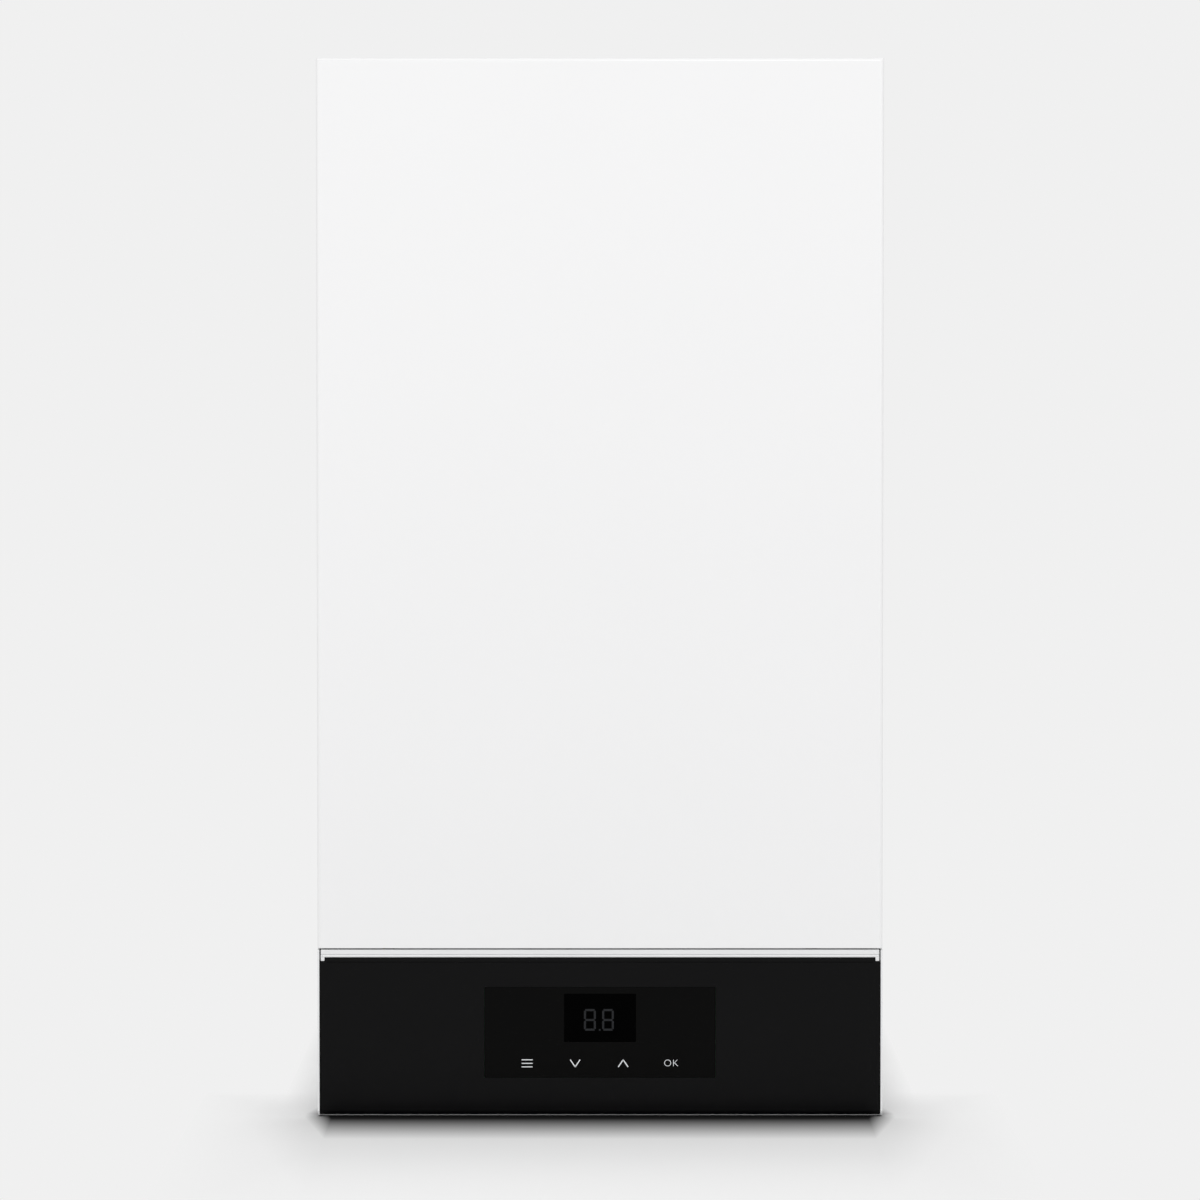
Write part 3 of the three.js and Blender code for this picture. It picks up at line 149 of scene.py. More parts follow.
class Shader:
    """One material and the nodes that make it."""

    def __init__(self, name):
        self.material = bpy.data.materials.new(name)
        self.material.use_nodes = True
        self.tree = self.material.node_tree
        self.surface = self.tree.nodes["Principled BSDF"]
        self.place = self.node("ShaderNodeTexCoord", {}, {}, "Object")

    def node(self, kind, settings, values, output=0):
        made = self.tree.nodes.new(kind)
        for name, value in settings.items():
            setattr(made, name, value)
        for name, value in values.items():
            self.feed(made.inputs[name], value)
        return Sock(self, made.outputs[output])

    def feed(self, socket, value):
        if isinstance(value, Sock):
            self.tree.links.new(value.socket, socket)
        elif isinstance(value, tuple) and len(value) == 3 and socket.type == "RGBA":
            socket.default_value = (*value, 1)
        else:
            socket.default_value = value

    def set(self, **values):
        for name, value in values.items():
            self.feed(self.surface.inputs[name.replace("_", " ")], value)
        return self

    def noise(self, scale, detail=2.0, stretch=(1, 1, 1)):
        where = self.node("ShaderNodeMapping", {}, {"Vector": self.place, "Scale": stretch})
        return self.node("ShaderNodeTexNoise", {}, {"Vector": where, "Scale": scale, "Detail": detail})

    def mix(self, factor, first, second):
        made = self.tree.nodes.new("ShaderNodeMix")
        made.data_type = "RGBA"
        self.feed(made.inputs["Factor"], factor)
        self.feed(made.inputs[6], first)
        self.feed(made.inputs[7], second)
        return Sock(self, made.outputs[2])

    def bump(self, height, strength, distance):
        made = self.tree.nodes.new("ShaderNodeBump")
        made.inputs["Strength"].default_value = strength
        made.inputs["Distance"].default_value = distance
        self.feed(made.inputs["Height"], height)
        self.tree.links.new(made.outputs["Normal"], self.surface.inputs["Normal"])
        return self

    def blend(self, factor, first, second):
        """The second surface over the first one."""
        made = self.tree.nodes.new("ShaderNodeMixShader")
        self.feed(made.inputs["Fac"], factor)
        self.tree.links.new(first, made.inputs[1])
        self.tree.links.new(second, made.inputs[2])
        return made.outputs[0]

    def axis(self, name):
        return self.node("ShaderNodeSeparateXYZ", {}, {0: self.place}, name)


def shade(base, amount):
    """The colour made lighter (above 1) or darker (below 1)."""
    return tuple(min(1.0, channel * amount) for channel in base)


def powder_coat(name, base, roughness):
    shader = Shader(name)
    cloud = shader.noise(3.5, 2)
    grain = shader.noise(900, 3)
    peel = shader.noise(420, 1)
    shader.set(Base_Color=shader.mix(cloud, shade(base, 0.985), shade(base, 1.01)),
               Roughness=grain * 0.1 + (roughness - 0.05), Metallic=0.0)
    shader.surface.inputs["Coat Weight"].default_value = 0.15
    shader.surface.inputs["Coat Roughness"].default_value = 0.2
    return shader.bump(peel * 0.7 + grain * 0.3, 0.05, 0.0002).material


def moulded(name, base, roughness, grain_scale=1400, strength=0.06, specular=0.5):
    shader = Shader(name)
    cloud = shader.noise(9, 2)
    grain = shader.noise(grain_scale, 2)
    shader.set(Base_Color=shader.mix(cloud, shade(base, 0.94), shade(base, 1.05)),
               Roughness=grain * 0.14 + (roughness - 0.07), Metallic=0.0)
    shader.surface.inputs["Specular IOR Level"].default_value = specular
    return shader.bump(grain, strength, 0.0002).material


def polished(name, base, roughness, specular):
    shader = Shader(name)
    smear = shader.noise(14, 4, (1, 1, 2.5))
    shader.set(Base_Color=shader.mix(smear, shade(base, 0.9), shade(base, 1.1)),
               Roughness=smear * 0.05 + roughness, Metallic=0.0)
    shader.surface.inputs["Specular IOR Level"].default_value = specular
    return shader.bump(shader.noise(40, 1), 0.015, 0.0004).material


def zinc_plate(name):
    shader = Shader(name)
    crystals = shader.node("ShaderNodeTexVoronoi", {"feature": "F1"},
                           {"Vector": shader.place, "Scale": 130.0}, "Color")
    spangle = shader.node("ShaderNodeSeparateColor", {}, {0: crystals}, 0)
    haze = shader.noise(16, 3)
    shader.set(Base_Color=shader.mix(spangle * 0.6 + haze * 0.4, (0.36, 0.375, 0.385), (0.56, 0.57, 0.58)),
               Roughness=spangle * 0.18 + 0.3, Metallic=0.85)
    return shader.bump(spangle, 0.03, 0.0002).material


def drawn_metal(name, dark, light, roughness, stretch):
    """Metal with fine lines along one direction, and a soft tarnish."""
    shader = Shader(name)
    lines = shader.noise(700, 2, stretch)
    tarnish = shader.noise(22, 4)
    shader.set(Base_Color=shader.mix(tarnish, dark, light),
               Roughness=lines * 0.16 + tarnish * 0.1 + (roughness - 0.12), Metallic=1.0)
    return shader.bump(lines, 0.04, 0.0001).material


def cast_metal(name, dark, light, roughness):
    shader = Shader(name)
    skin = shader.noise(520, 4)
    patch = shader.noise(25, 3)
    shader.set(Base_Color=shader.mix(patch, dark, light),
               Roughness=skin * 0.2 + (roughness - 0.1), Metallic=0.9)
    return shader.bump(skin, 0.16, 0.0003).material


def braided(name):
    """Woven steel wires: two slanted sets of fine ridges."""
    shader = Shader(name)
    weave = shader.node("ShaderNodeTexChecker", {}, {"Vector": shader.place, "Scale": 700.0}, "Fac")
    shader.set(Base_Color=shader.mix(weave, (0.16, 0.165, 0.17), (0.6, 0.61, 0.62)),
               Roughness=shader.noise(300) * 0.2 + 0.25, Metallic=0.95)
    return shader.bump(weave, 0.5, 0.0004).material


def circuit_green(name):
    shader = Shader(name)
    tracks = shader.node("ShaderNodeTexBrick", {}, {
        "Vector": shader.place, "Scale": 220.0, "Mortar Size": 0.06,
        "Color1": (0.012, 0.085, 0.035), "Color2": (0.015, 0.1, 0.04), "Mortar": (0.05, 0.2, 0.09)})
    shader.set(Base_Color=tracks, Roughness=shader.noise(500) * 0.15 + 0.3)
    return shader.bump(shader.noise(900), 0.05, 0.0001).material


def make_materials():
    look = bpy.context.scene.boiler_finish
    looks = (  # how it is made, its name, and its colours and other values
        (powder_coat, "white_paint", tuple(look.paint), 0.36),
        (moulded, "white_plastic", tuple(look.trim), 0.36, 1600, 0.03),
        (polished, "black_gloss", tuple(look.fascia), 0.09, 0.085),
        (polished, "black_glass", tuple(look.glass), 0.04, 0.055),
        (moulded, "grey_plastic", (0.055, 0.058, 0.062), 0.52, 900, 0.15),
        (moulded, "red_plastic", (0.45, 0.02, 0.014), 0.4),
        (moulded, "blue_plastic", (0.02, 0.09, 0.34), 0.4),
        (moulded, "rubber", (0.012, 0.012, 0.012), 0.75, 700, 0.2, 0.3),
        (zinc_plate, "zinc_steel"),
        (drawn_metal, "stainless", (0.5, 0.51, 0.52), (0.66, 0.67, 0.68), 0.3, (1, 0.04, 1)),
        (cast_metal, "cast_aluminium", (0.36, 0.37, 0.38), (0.52, 0.53, 0.54), 0.5),
        (cast_metal, "brass", (0.5, 0.34, 0.12), (0.66, 0.47, 0.19), 0.36),
        (drawn_metal, "copper", (0.5, 0.2, 0.1), (0.75, 0.36, 0.22), 0.3, (1, 1, 0.04)),
        (circuit_green, "circuit_board"),
        (polished, "ceramic", (0.78, 0.76, 0.7), 0.15, 0.5),
        (moulded, "flue_plastic", (0.72, 0.72, 0.7), 0.48, 900, 0.1),
        (powder_coat, "red_paint", (0.38, 0.016, 0.012), 0.3),
        (polished, "display_black", (0.0004, 0.0004, 0.0004), 0.03, 0.01),
        (moulded, "black_wire", (0.01, 0.01, 0.01), 0.42, 700, 0.05),
        (moulded, "grey_wire", (0.2, 0.2, 0.21), 0.42, 700, 0.05),
        (moulded, "blue_wire", (0.02, 0.08, 0.3), 0.42, 700, 0.05),
        (moulded, "brown_wire", (0.09, 0.03, 0.012), 0.42, 700, 0.05),
        (braided, "braid"),
        (moulded, "black_plug", (0.014, 0.014, 0.015), 0.45),
        (moulded, "key_mark", tuple(look.mark), 0.5, 900, 0.02, 0.2),
        (moulded, "unlit_figure", tuple(look.figure), 0.5, 900, 0.02, 0.05),
    )
    return {name: maker(name, *values) for maker, name, *values in looks}


# ---------------------------------------------------------------- modelling tools
# The lengths that these tools take and give are in millimetres.
TURN = {"x": (0, math.pi / 2, 0), "y": (math.pi / 2, 0, 0), "z": (0, 0, 0)}
MATERIALS = {}
SHARP = 35  # degrees: folds sharper than this are rounded and shaded as edges
ROUND = 60  # degrees: the same for rings and wires
RECESS_WIDTH, RECESS_LENGTH, HEAD_EDGE = 0.26, 1.1, 0.18  # of a screw head, as parts of its radius


def box(node):
    """The low and the high corner of a CAD node."""
    return [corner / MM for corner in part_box(node)]


def middle_of(node):
    low, high = box(node)
    return (low + high) / 2


def edge_width(name):
    """One of the edge settings."""
    return getattr(bpy.context.scene.boiler_edges, name) / MM


def deselect():
    if bpy.context.object and bpy.context.object.mode != "OBJECT":
        bpy.ops.object.mode_set(mode="OBJECT")
    bpy.ops.object.select_all(action="DESELECT")


def pick(piece):
    deselect()
    piece.select_set(True)
    bpy.context.view_layer.objects.active = piece


def settle(piece):
    """Moves the piece's place, turn and scale into its mesh."""
    pick(piece)
    bpy.ops.object.transform_apply(location=True, rotation=True, scale=True)
    return piece


def moved(piece, turn, place):
    """The piece turned about the origin and then taken to its place."""
    piece.rotation_euler = turn
    piece.location = [value * MM for value in place]
    return settle(piece)


def added(name):
    """The object that was just added, under its name."""
    piece = bpy.context.object
    piece.name = name
    return settle(piece)


def block(name, low, high):
    deselect()
    bpy.ops.mesh.primitive_cube_add(size=1, location=[(a + b) / 2 * MM for a, b in zip(low, high)])
    bpy.context.object.scale = [(b - a) * MM for a, b in zip(low, high)]
    return added(name)


def across(axis, centre, along):
    """The point, in metres, at `along` on the axis; `centre` holds the two other coordinates."""
    a, b, along = centre[0] * MM, centre[1] * MM, along * MM
    return {"x": (along, a, b), "y": (a, along, b), "z": (a, b, along)}[axis]


def disc(name, axis, centre, radius, low, high, sides=64):
    """A cylinder along the axis."""
    deselect()
    bpy.ops.mesh.primitive_cylinder_add(
        vertices=sides, radius=radius * MM, depth=(high - low) * MM, rotation=TURN[axis],
        location=across(axis, centre, (low + high) / 2))
    return added(name)


def ring(name, axis, centre, along, radius, thickness, sides=96, round_sides=12):
    """A smooth ring of round wire."""
    deselect()
    bpy.ops.mesh.primitive_torus_add(
        major_radius=radius * MM, minor_radius=thickness * MM, major_segments=sides,
        minor_segments=round_sides, location=across(axis, centre, along), rotation=TURN[axis])
    return smooth(added(name), ROUND)


def apply_modifier(piece, kind, **settings):
    pick(piece)
    modifier = piece.modifiers.new("shape", kind)
    for key, value in settings.items():
        setattr(modifier, key, value)
    bpy.ops.object.modifier_apply(modifier=modifier.name)
    return piece


def cut(piece, *tools, operation="DIFFERENCE"):
    for tool in tools:
        apply_modifier(piece, "BOOLEAN", operation=operation, object=tool, solver="EXACT")
        bpy.data.objects.remove(tool)
    return piece


def joined(pieces, name):
    deselect()
    for piece in pieces:
        piece.select_set(True)
    bpy.context.view_layer.objects.active = pieces[0]
    if len(pieces) > 1:
        bpy.ops.object.join()
    pieces[0].name = name
    return pieces[0]


def choose(piece, kind, test):
    """Enters edit mode with just the edges or faces selected that pass the test."""
    pick(piece)
    bpy.ops.object.mode_set(mode="EDIT")
    bpy.ops.mesh.select_mode(type=kind)
    bpy.ops.mesh.select_all(action="DESELECT")
    mesh = bmesh.from_edit_mesh(piece.data)
    for part in mesh.edges if kind == "EDGE" else mesh.faces:
        part.select_set(test(part))
    bmesh.update_edit_mesh(piece.data)


def leave_edit():
    bpy.ops.object.mode_set(mode="OBJECT")


def smooth(piece, angle=SHARP):
    pick(piece)
    bpy.ops.object.shade_smooth_by_angle(angle=math.radians(angle))
    return piece


def soften(piece, width, segments=2, angle=SHARP):
    """Rounds the sharp edges, and keeps the flat faces flat in the shading."""
    apply_modifier(piece, "BEVEL", width=width * MM, segments=segments, limit_method="ANGLE",
                   angle_limit=math.radians(angle), use_clamp_overlap=True)
    smooth(piece, angle)
    return apply_modifier(piece, "WEIGHTED_NORMAL", keep_sharp=True, weight=80)


def dress(piece, slot, body="root", *nodes):
    """Gives a finished piece its material and its body, and hides the nodes that it stands for."""
    piece.data.materials.clear()
    piece.data.materials.append(MATERIALS[slot])
    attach(piece, body)
    if nodes:
        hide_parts(*nodes)
    return piece


def group(pieces, name, slot, body="root", *nodes):
    """The pieces as one, dressed."""
    return dress(joined(pieces, name), slot, body, *nodes)


def solid_copy(node):
    """A merged copy of a node's mesh with its flat faces made whole."""
    mesh = frame["nodes"][node].data.copy()
    piece = bpy.data.objects.new(f"{node}_finished", mesh)
    bpy.context.scene.collection.objects.link(piece)
    pick(piece)
    bpy.ops.object.mode_set(mode="EDIT")
    bpy.ops.mesh.select_all(action="SELECT")
    bpy.ops.mesh.remove_doubles(threshold=0.02 * MM)
    bpy.ops.mesh.dissolve_limited(angle_limit=math.radians(1.0))
    leave_edit()
    if mesh.has_custom_normals:
        bpy.ops.mesh.customdata_custom_splitnormals_clear()
    return piece


def stand_for(piece, node):
    """Dresses a piece that takes one node's place, as that node is in the record."""
    return dress(piece, SLOT_OF[node], BODY_OF[node], node)


def rounded_copies(width, segments, *nodes, angle=SHARP):
    """Stands for each node: the same shape with its edges softened."""
    for node in nodes:
        stand_for(soften(solid_copy(node), width, segments, angle), node)


def screw(axis, place, radius, height, towards):
    """Pan-head screw with a cross recess. Its head rises from `place` along the axis."""
    index = "xyz".index(axis)
    centre = [value for i, value in enumerate(place) if i != index]
    top = list(place)
    top[index] += towards * height
    head = disc("screw", axis, centre, radius, *sorted((place[index], top[index])), 24)
    for wide, tall in ((RECESS_WIDTH, RECESS_LENGTH), (RECESS_LENGTH, RECESS_WIDTH)):
        spans = [radius * wide, radius * tall]
        spans.insert(index, height * 1.1)
        cut(head, block("recess", [c - s / 2 for c, s in zip(top, spans)],
                        [c + s / 2 for c, s in zip(top, spans)]))
    return soften(head, radius * HEAD_EDGE, 2, 40)


def screws(name, axis, places, radius, height, towards, body="root"):
    """One screw at each place, joined in one piece."""
    model = screw(axis, places[0], radius, height, towards)
    made = []
    for place in places:
        other = bpy.data.objects.new(name, model.data.copy())
        bpy.context.scene.collection.objects.link(other)
        made.append(moved(other, (0, 0, 0), Vector(place) - Vector(places[0])))
    bpy.data.objects.remove(model)
    return group(made, name, "stainless", body)


def swept(name, kind, points, radius, roundness):
    """A round bar along the points, made a mesh."""
    curve = bpy.data.curves.new(name, "CURVE")
    curve.dimensions = "3D"
    curve.bevel_depth = radius * MM
    curve.bevel_resolution = roundness
    curve.resolution_u = 8
    curve.use_fill_caps = True
    spline = curve.splines.new(kind)
    spline.points.add(len(points) - 1)
    for target, point in zip(spline.points, points):
        target.co = (*[value * MM for value in point], 1)
    spline.order_u = 4
    spline.use_endpoint_u = True
    piece = bpy.data.objects.new(name, curve)
    bpy.context.scene.collection.objects.link(piece)
    pick(piece)
    bpy.ops.object.convert(target="MESH")
    return bpy.context.object


def wire(name, points, radius, slot):
    """A smooth wire or hose through the points."""
    return dress(smooth(swept(name, "NURBS", points, radius, 4), ROUND), slot)


def rounded_path(corners, bend, steps=8):
    """The corners' line with an arc at each turn."""
    corners = [Vector(corner) for corner in corners]
    path = [corners[0]]
    for before, corner, after in zip(corners, corners[1:], corners[2:]):
        came, goes = (corner - before).normalized(), (after - corner).normalized()
        turn = came.angle(goes)
        start = corner - came * bend * math.tan(turn / 2)
        centre = corner + (goes - came).normalized() * (bend / math.cos(turn / 2))
        normal = came.cross(goes).normalized()
        arm = start - centre
        for step in range(steps + 1):
            angle = turn * step / steps
            path.append(centre + arm * math.cos(angle) + normal.cross(arm) * math.sin(angle))
    return path + [corners[-1]]


# ---------------------------------------------------------------- casing
COVER_LOW, COVER_HIGH = box("front_cover")
FRONT, HALF_WIDTH = COVER_LOW.y, COVER_HIGH.x
COVER_BACK = FRONT + 45
SHEET = 1.2
TINY = 0.01
LUG_PLANE = 618.0  # the hooks rest where y + z has this value


def rounded_edge(edge):
    """True for the edges of the cover's front face, but for the bottom one."""
    a, b = (vertex.co / MM for vertex in edge.verts)
    return max(a.y, b.y) < FRONT + TINY and max(a.z, b.z) > COVER_LOW.z + TINY


class BOILER_OT_cover(bpy.types.Operator):
    """Folded front cover with rounded edges, a bottom flange and the hooks that it hangs by"""
    bl_idname = "boiler.cover"
    bl_label = "Front cover"

    def execute(self, context):
        shell = block("cover_shell", COVER_LOW, (HALF_WIDTH, COVER_BACK, COVER_HIGH.z))
        choose(shell, "EDGE", rounded_edge)
        bpy.ops.mesh.bevel(offset=context.scene.boiler_edges.cover_radius, segments=6, affect="EDGES")
        leave_edit()
        choose(shell, "FACE", lambda face: face.normal.y > 0.9)
        bpy.ops.mesh.delete(type="FACE")
        leave_edit()
        apply_modifier(shell, "SOLIDIFY", thickness=SHEET * MM, offset=-1, use_even_offset=True)
        inner = HALF_WIDTH - SHEET
        cut(shell, block("flange_gap", (-inner, FRONT + 35, COVER_LOW.z - SHEET),
                         (inner, COVER_BACK + SHEET, COVER_LOW.z + 1.5 * SHEET)))
        stand_for(soften(shell, edge_width("sheet_edge"), 2, 45), "front_cover")
        self.hooks()
        return {"FINISHED"}

    def hooks(self):
        """Slanted hooks that rest on the lugs of the top rail."""
        half_width, half_thickness, clearance = 15, 0.75, 0.3
        low_y, high_y = FRONT + 37, FRONT + 44
        middle_y, half_run = (low_y + high_y) / 2, (high_y - low_y) / math.sqrt(2)
        made = []
        for x in (-120, 120):
            centre = Vector((x, middle_y, LUG_PLANE - middle_y))
            centre += Vector((0, 1, 1)).normalized() * (clearance + half_thickness)
            half = Vector((half_width, half_run, half_thickness))
            plate = moved(block("hook", -half, half), (-math.pi / 4, 0, 0), centre)
            web = block("hook_web", (x - half_width, low_y, LUG_PLANE - low_y + 0.6),
                        (x + half_width, low_y + SHEET, COVER_HIGH.z - SHEET - 0.02))
            made.append(cut(plate, web, operation="UNION"))
        dress(soften(joined(made, "cover_hooks"), 0.2), "zinc_steel", "front_cover")


class BOILER_OT_casing(bpy.types.Operator):
    """Side, top, rear and base sheets with softened folds, ribs and screws"""
    bl_idname = "boiler.casing"
    bl_label = "Casing sheets"

    def execute(self, context):
        rounded_copies(edge_width("sheet_edge"), 2, "side_panel_left", "side_panel_right", "base_plate",
                       "front_rail", "top_rail", "wall_bracket", "cover_seal", "cover_latch_left",
                       "cover_latch_right", "hinge_bracket_left", "hinge_bracket_right",
                       "heat_exchanger_bracket")
        self.rear_sheet()
        self.top_sheet()
        rear, base = box("rear_panel")[1].y, box("base_plate")[0].z
        screws("rear_screws", "y", [(x, rear, z) for x in (-184, 184) for z in (60, 230, 400, 570, 735)],
               3.6, 2.2, 1)
        screws("base_screws", "z", [(x, y, base) for x in (-185, -95, 95, 185) for y in (-80, 125)],
               3.6, 2.2, -1)
        return {"FINISHED"}

    def rear_sheet(self):
        """Rear sheet with pressed ribs that stiffen it."""
        low, high = box("rear_panel")
        sheet = block("rear_sheet", low, high)
        for x in (-135, -45, 45, 135):
            rib = block("rib", (x - 7, high.y - SHEET * 0.45, low.z + 60), (x + 7, high.y + 2.2, high.z - 120))
            cut(sheet, soften(rib, 5, 5, 60))
        dress(soften(sheet, 0.25), "zinc_steel", "root", "rear_panel")

    def top_sheet(self):
        """Top sheet with a shallow pressed ring round the flue hole and two plugged test holes."""
        low, high = box("top_panel")
        flue = middle_of("flue_collar")
        centre = (flue.x, flue.y)
        sheet = block("top_sheet", low, high)
        cut(sheet, disc("hole", "z", centre, 55.3, low.z - SHEET, high.z + SHEET, 96))
        pressed = disc("pressed", "z", centre, 78, high.z - 0.45, high.z + SHEET, 96)
        cut(pressed, disc("pressed_core", "z", centre, 68, high.z - SHEET, high.z + 2 * SHEET, 96))
        cut(sheet, pressed)
        for name, x in (("test_plug_left", -135), ("test_plug_right", 135)):
            cut(sheet, disc("plug_hole", "z", (x, flue.y), 11.3, low.z - SHEET, high.z + SHEET, 48))
            plug = disc(name, "z", (x, flue.y), 11, low.z - 3, high.z - 0.15, 48)
            choose(plug, "FACE", lambda face: face.normal.z > 0.9)
            bpy.ops.mesh.inset(thickness=2.5 * MM)
            bpy.ops.transform.translate(value=(0, 0, -0.7 * MM))
            leave_edit()
            dress(soften(plug, 0.3), "rubber")
        dress(soften(sheet, 0.25), "white_paint", "root", "top_panel")


# ---------------------------------------------------------------- control unit
FASCIA_FACE = box("control_fascia")[0].y
GLASS_LOW = box("touch_panel")[0]
MARK_THICKNESS = 0.05  # thickness of a printed mark, and of the bar of painted highlight under the touch panel


def print_or_painted_highlight(name, pieces, material):
    """A printed mark, or a bar of painted highlight, a hair in front of the touch panel, which swings with the
    control unit.
    """
    return group(pieces, name, material, "control_unit")


def bar(x0, z0, x1, z1, thick, face):
    """A flat bar from one point to another, its back on the given face."""
    run = math.hypot(x1 - x0, z1 - z0)
    piece = block("bar", (-run / 2, -MARK_THICKNESS, -thick / 2), (run / 2, 0, thick / 2))
    return moved(piece, (0, -math.atan2(z1 - z0, x1 - x0), 0), ((x0 + x1) / 2, face, (z0 + z1) / 2))


class BOILER_OT_control_unit(bpy.types.Operator):
    """Black fascia with its white rim, trim strip, touch panel and display"""
    bl_idname = "boiler.control_unit"
    bl_label = "Control unit"

    def execute(self, context):
        rounded_copies(0.35, 3, "control_carrier", angle=40)
        self.fascia()
        rounded_copies(edge_width("moulded_edge"), 2, "control_housing", "housing_lid", "main_board")
        rounded_copies(0.1, 2, "display_module")
        self.strip()
        self.panel()
        self.housing_trim()
        return {"FINISHED"}

    def fascia(self):
        """Gloss black front with a slim raised line under the trim strip."""
        front = solid_copy("control_fascia")
        for low, high in ((109.5, 110.15), (111.95, 112.7)):
            cut(front, block("groove", (-193.5, FASCIA_FACE - 1, low), (193.5, FASCIA_FACE + 0.9, high)))
        stand_for(soften(front, 0.2, 3, 30), "control_fascia")

    def housing_trim(self):
        """Lid screws, ribs and cable entries of the electronics housing."""
        back, top = box("housing_lid")[1].y, box("control_housing")[1].z
        screws("lid_screws", "y", [(x, back, z) for x in (-176, -60, 60, 176) for z in (22, 90)],
               3.2, 1, 1, "control_unit")
        ribs = [soften(block("lid_rib", (x - 0.8, back - 0.3, 40), (x + 0.8, back + 0.7, 84)), 0.25)
                for x in range(-150, 151, 12) if abs(x) > 30]
        group(ribs, "lid_ribs", "grey_plastic", "control_unit")
        entries = [soften(disc("entry", "z", (x, -112), radius, top + low, top + high, sides), 0.5)
                   for x in (-130, -100, -70, 80, 110)
                   for radius, low, high, sides in ((5.5, -1, 3, 40), (3.4, 2, 8, 32))]
        group(entries, "cable_entries", "rubber", "control_unit")

    def strip(self):
        """Trim strip with a fine groove and a slim round bead along its lower edge."""
        low, high = box("trim_strip")
        strip = solid_copy("trim_strip")
        cut(strip, block("groove", (low.x - 1, low.y - 1, 114.875), (high.x + 1, low.y + 0.6, 115.425)))
        stand_for(soften(strip, 0.22, 3), "trim_strip")
        bead = disc("trim_bead", "x", (low.y + 0.5, 114.1), 0.8, low.x + 0.4, high.x - 0.4, 32)
        dress(smooth(bead, 40), "white_plastic", "control_unit")

    def panel(self):
        """Touch panel with its black display window, and a grey bar of painted highlight under it."""
        rounded_copies(0.18, 3, "touch_panel")
        lens = block("display_lens", (-25.3, GLASS_LOW.y + 0.04, 53.2), (25.3, GLASS_LOW.y + 0.28, 87.2))
        print_or_painted_highlight("display_lens", [soften(lens, 0.06)], "display_black")
        # painted highlight: a thin grey bar under the right part of the touch panel stands in for the glint
        # along its lower edge
        z = GLASS_LOW.z - 0.9
        print_or_painted_highlight("painted_highlight_bar", [bar(48, z, 81, z, 0.45, FASCIA_FACE + 0.06)], "unlit_figure")


class BOILER_OT_marks(bpy.types.Operator):
    """Unlit display figures and the printed marks of the four touch keys"""
    bl_idname = "boiler.marks"
    bl_label = "Figures and key marks"

    def execute(self, context):
        self.figures(GLASS_LOW.y + 0.04)
        self.keys(GLASS_LOW.y - TINY)
        return {"FINISHED"}

    def figures(self, face):
        """Two plain seven-segment figures and a point."""
        low, mid, high = 61.2, 68.8, 76.6
        thick, play = 1.5, 0.9
        half = thick / 2
        made = []
        for left, right in ((-11.4, -2.9), (1.5, 9.8)):
            for z in (low + half, mid, high - half):
                made.append(bar(left + play, z, right - play, z, thick, face))
            for x in (left + half, right - half):
                made.append(bar(x, low + play + 0.3, x, mid - play + 0.2, thick, face))
                made.append(bar(x, mid + play - 0.2, x, high - play - 0.3, thick, face))
        made.append(bar(-0.8, low + 0.6, 0.4, low + 0.6, 1.2, face))
        print_or_painted_highlight("display_figures", made, "unlit_figure")

    def keys(self, face):
        """Menu bars, a down arrow, an up arrow and OK, one to a key."""
        menu, down, up, confirm = (-51.6 + 34 * step for step in range(4))
        middle, half, rise = 38, 3.5, 2.6
        print_or_painted_highlight("key_menu", [bar(menu - 3.9, middle + dz, menu + 3.9, middle + dz, 0.6, face)
                             for dz in (2.5, 0, -2.5)], "key_mark")
        for name, x, way in (("key_down", down, -1), ("key_up", up, 1)):
            print_or_painted_highlight(name, [bar(x + side * half, middle - way * rise, x - side * 0.12,
                               middle + way * (rise + 0.1), 0.72, face) for side in (-1, 1)], "key_mark")
        deselect()
        bpy.ops.object.text_add(location=(0, 0, 0))
        text = bpy.context.object
        text.data.body = "OK"
        text.data.size = 7 * MM
        text.data.extrude = MARK_THICKNESS / 2 * MM
        text.data.align_x = "CENTER"
        text.data.align_y = "CENTER"
        text.data.offset = -0.14 * MM
        text.data.space_character = 1.1
        pick(text)
        bpy.ops.object.convert(target="MESH")
        text = moved(bpy.context.object, (math.pi / 2, 0, 0), (confirm, face - MARK_THICKNESS / 2, middle))
        print_or_painted_highlight("key_ok", [text], "key_mark")


# ---------------------------------------------------------------- heat engine
DOOR_LOW, DOOR_HIGH = box("burner_door")
DOOR = (DOOR_LOW + DOOR_HIGH) / 2
FAN_LOW, FAN_HIGH = box("fan_housing")
FAN = middle_of("fan_impeller")
VALVE_LOW, VALVE_HIGH = box("gas_valve")
VESSEL_LOW, VESSEL_HIGH = box("expansion_vessel")
FLUE = middle_of("flue_socket")
TAIL_Y = middle_of("plate_heat_exchanger").y
PUMP = middle_of("pump_impeller")
LOOM_X, LOOM_Y = 181, -52
LOOM_STRANDS = (("black_wire", 0, 0), ("grey_wire", 3.4, 1), ("blue_wire", -3.2, 1.6),
                ("brown_wire", 1.2, 4), ("black_wire", -1.6, -3.2))


def circle(centre, radius, count, y, start=0.0):
    """Places on a circle that faces the front."""
    turn = 2 * math.pi / count
    return [(centre.x + radius * math.cos(start + step * turn), y,
             centre.z + radius * math.sin(start + step * turn)) for step in range(count)]


def nut(name, axis, centre, flats, low, high):
    """Hexagon nut with softened corners."""
    return soften(disc(name, axis, centre, flats / math.sqrt(3), low, high, 6), 0.5, 2, 25)


def turned(name, axis, centre, steps, sides=96, edge=0.4):
    """Coaxial discs, each (low, high, radius), in one piece."""
    return joined([soften(disc(name, axis, centre, radius, low, high, sides), edge, 2, 30)
                   for low, high, radius in steps], name)


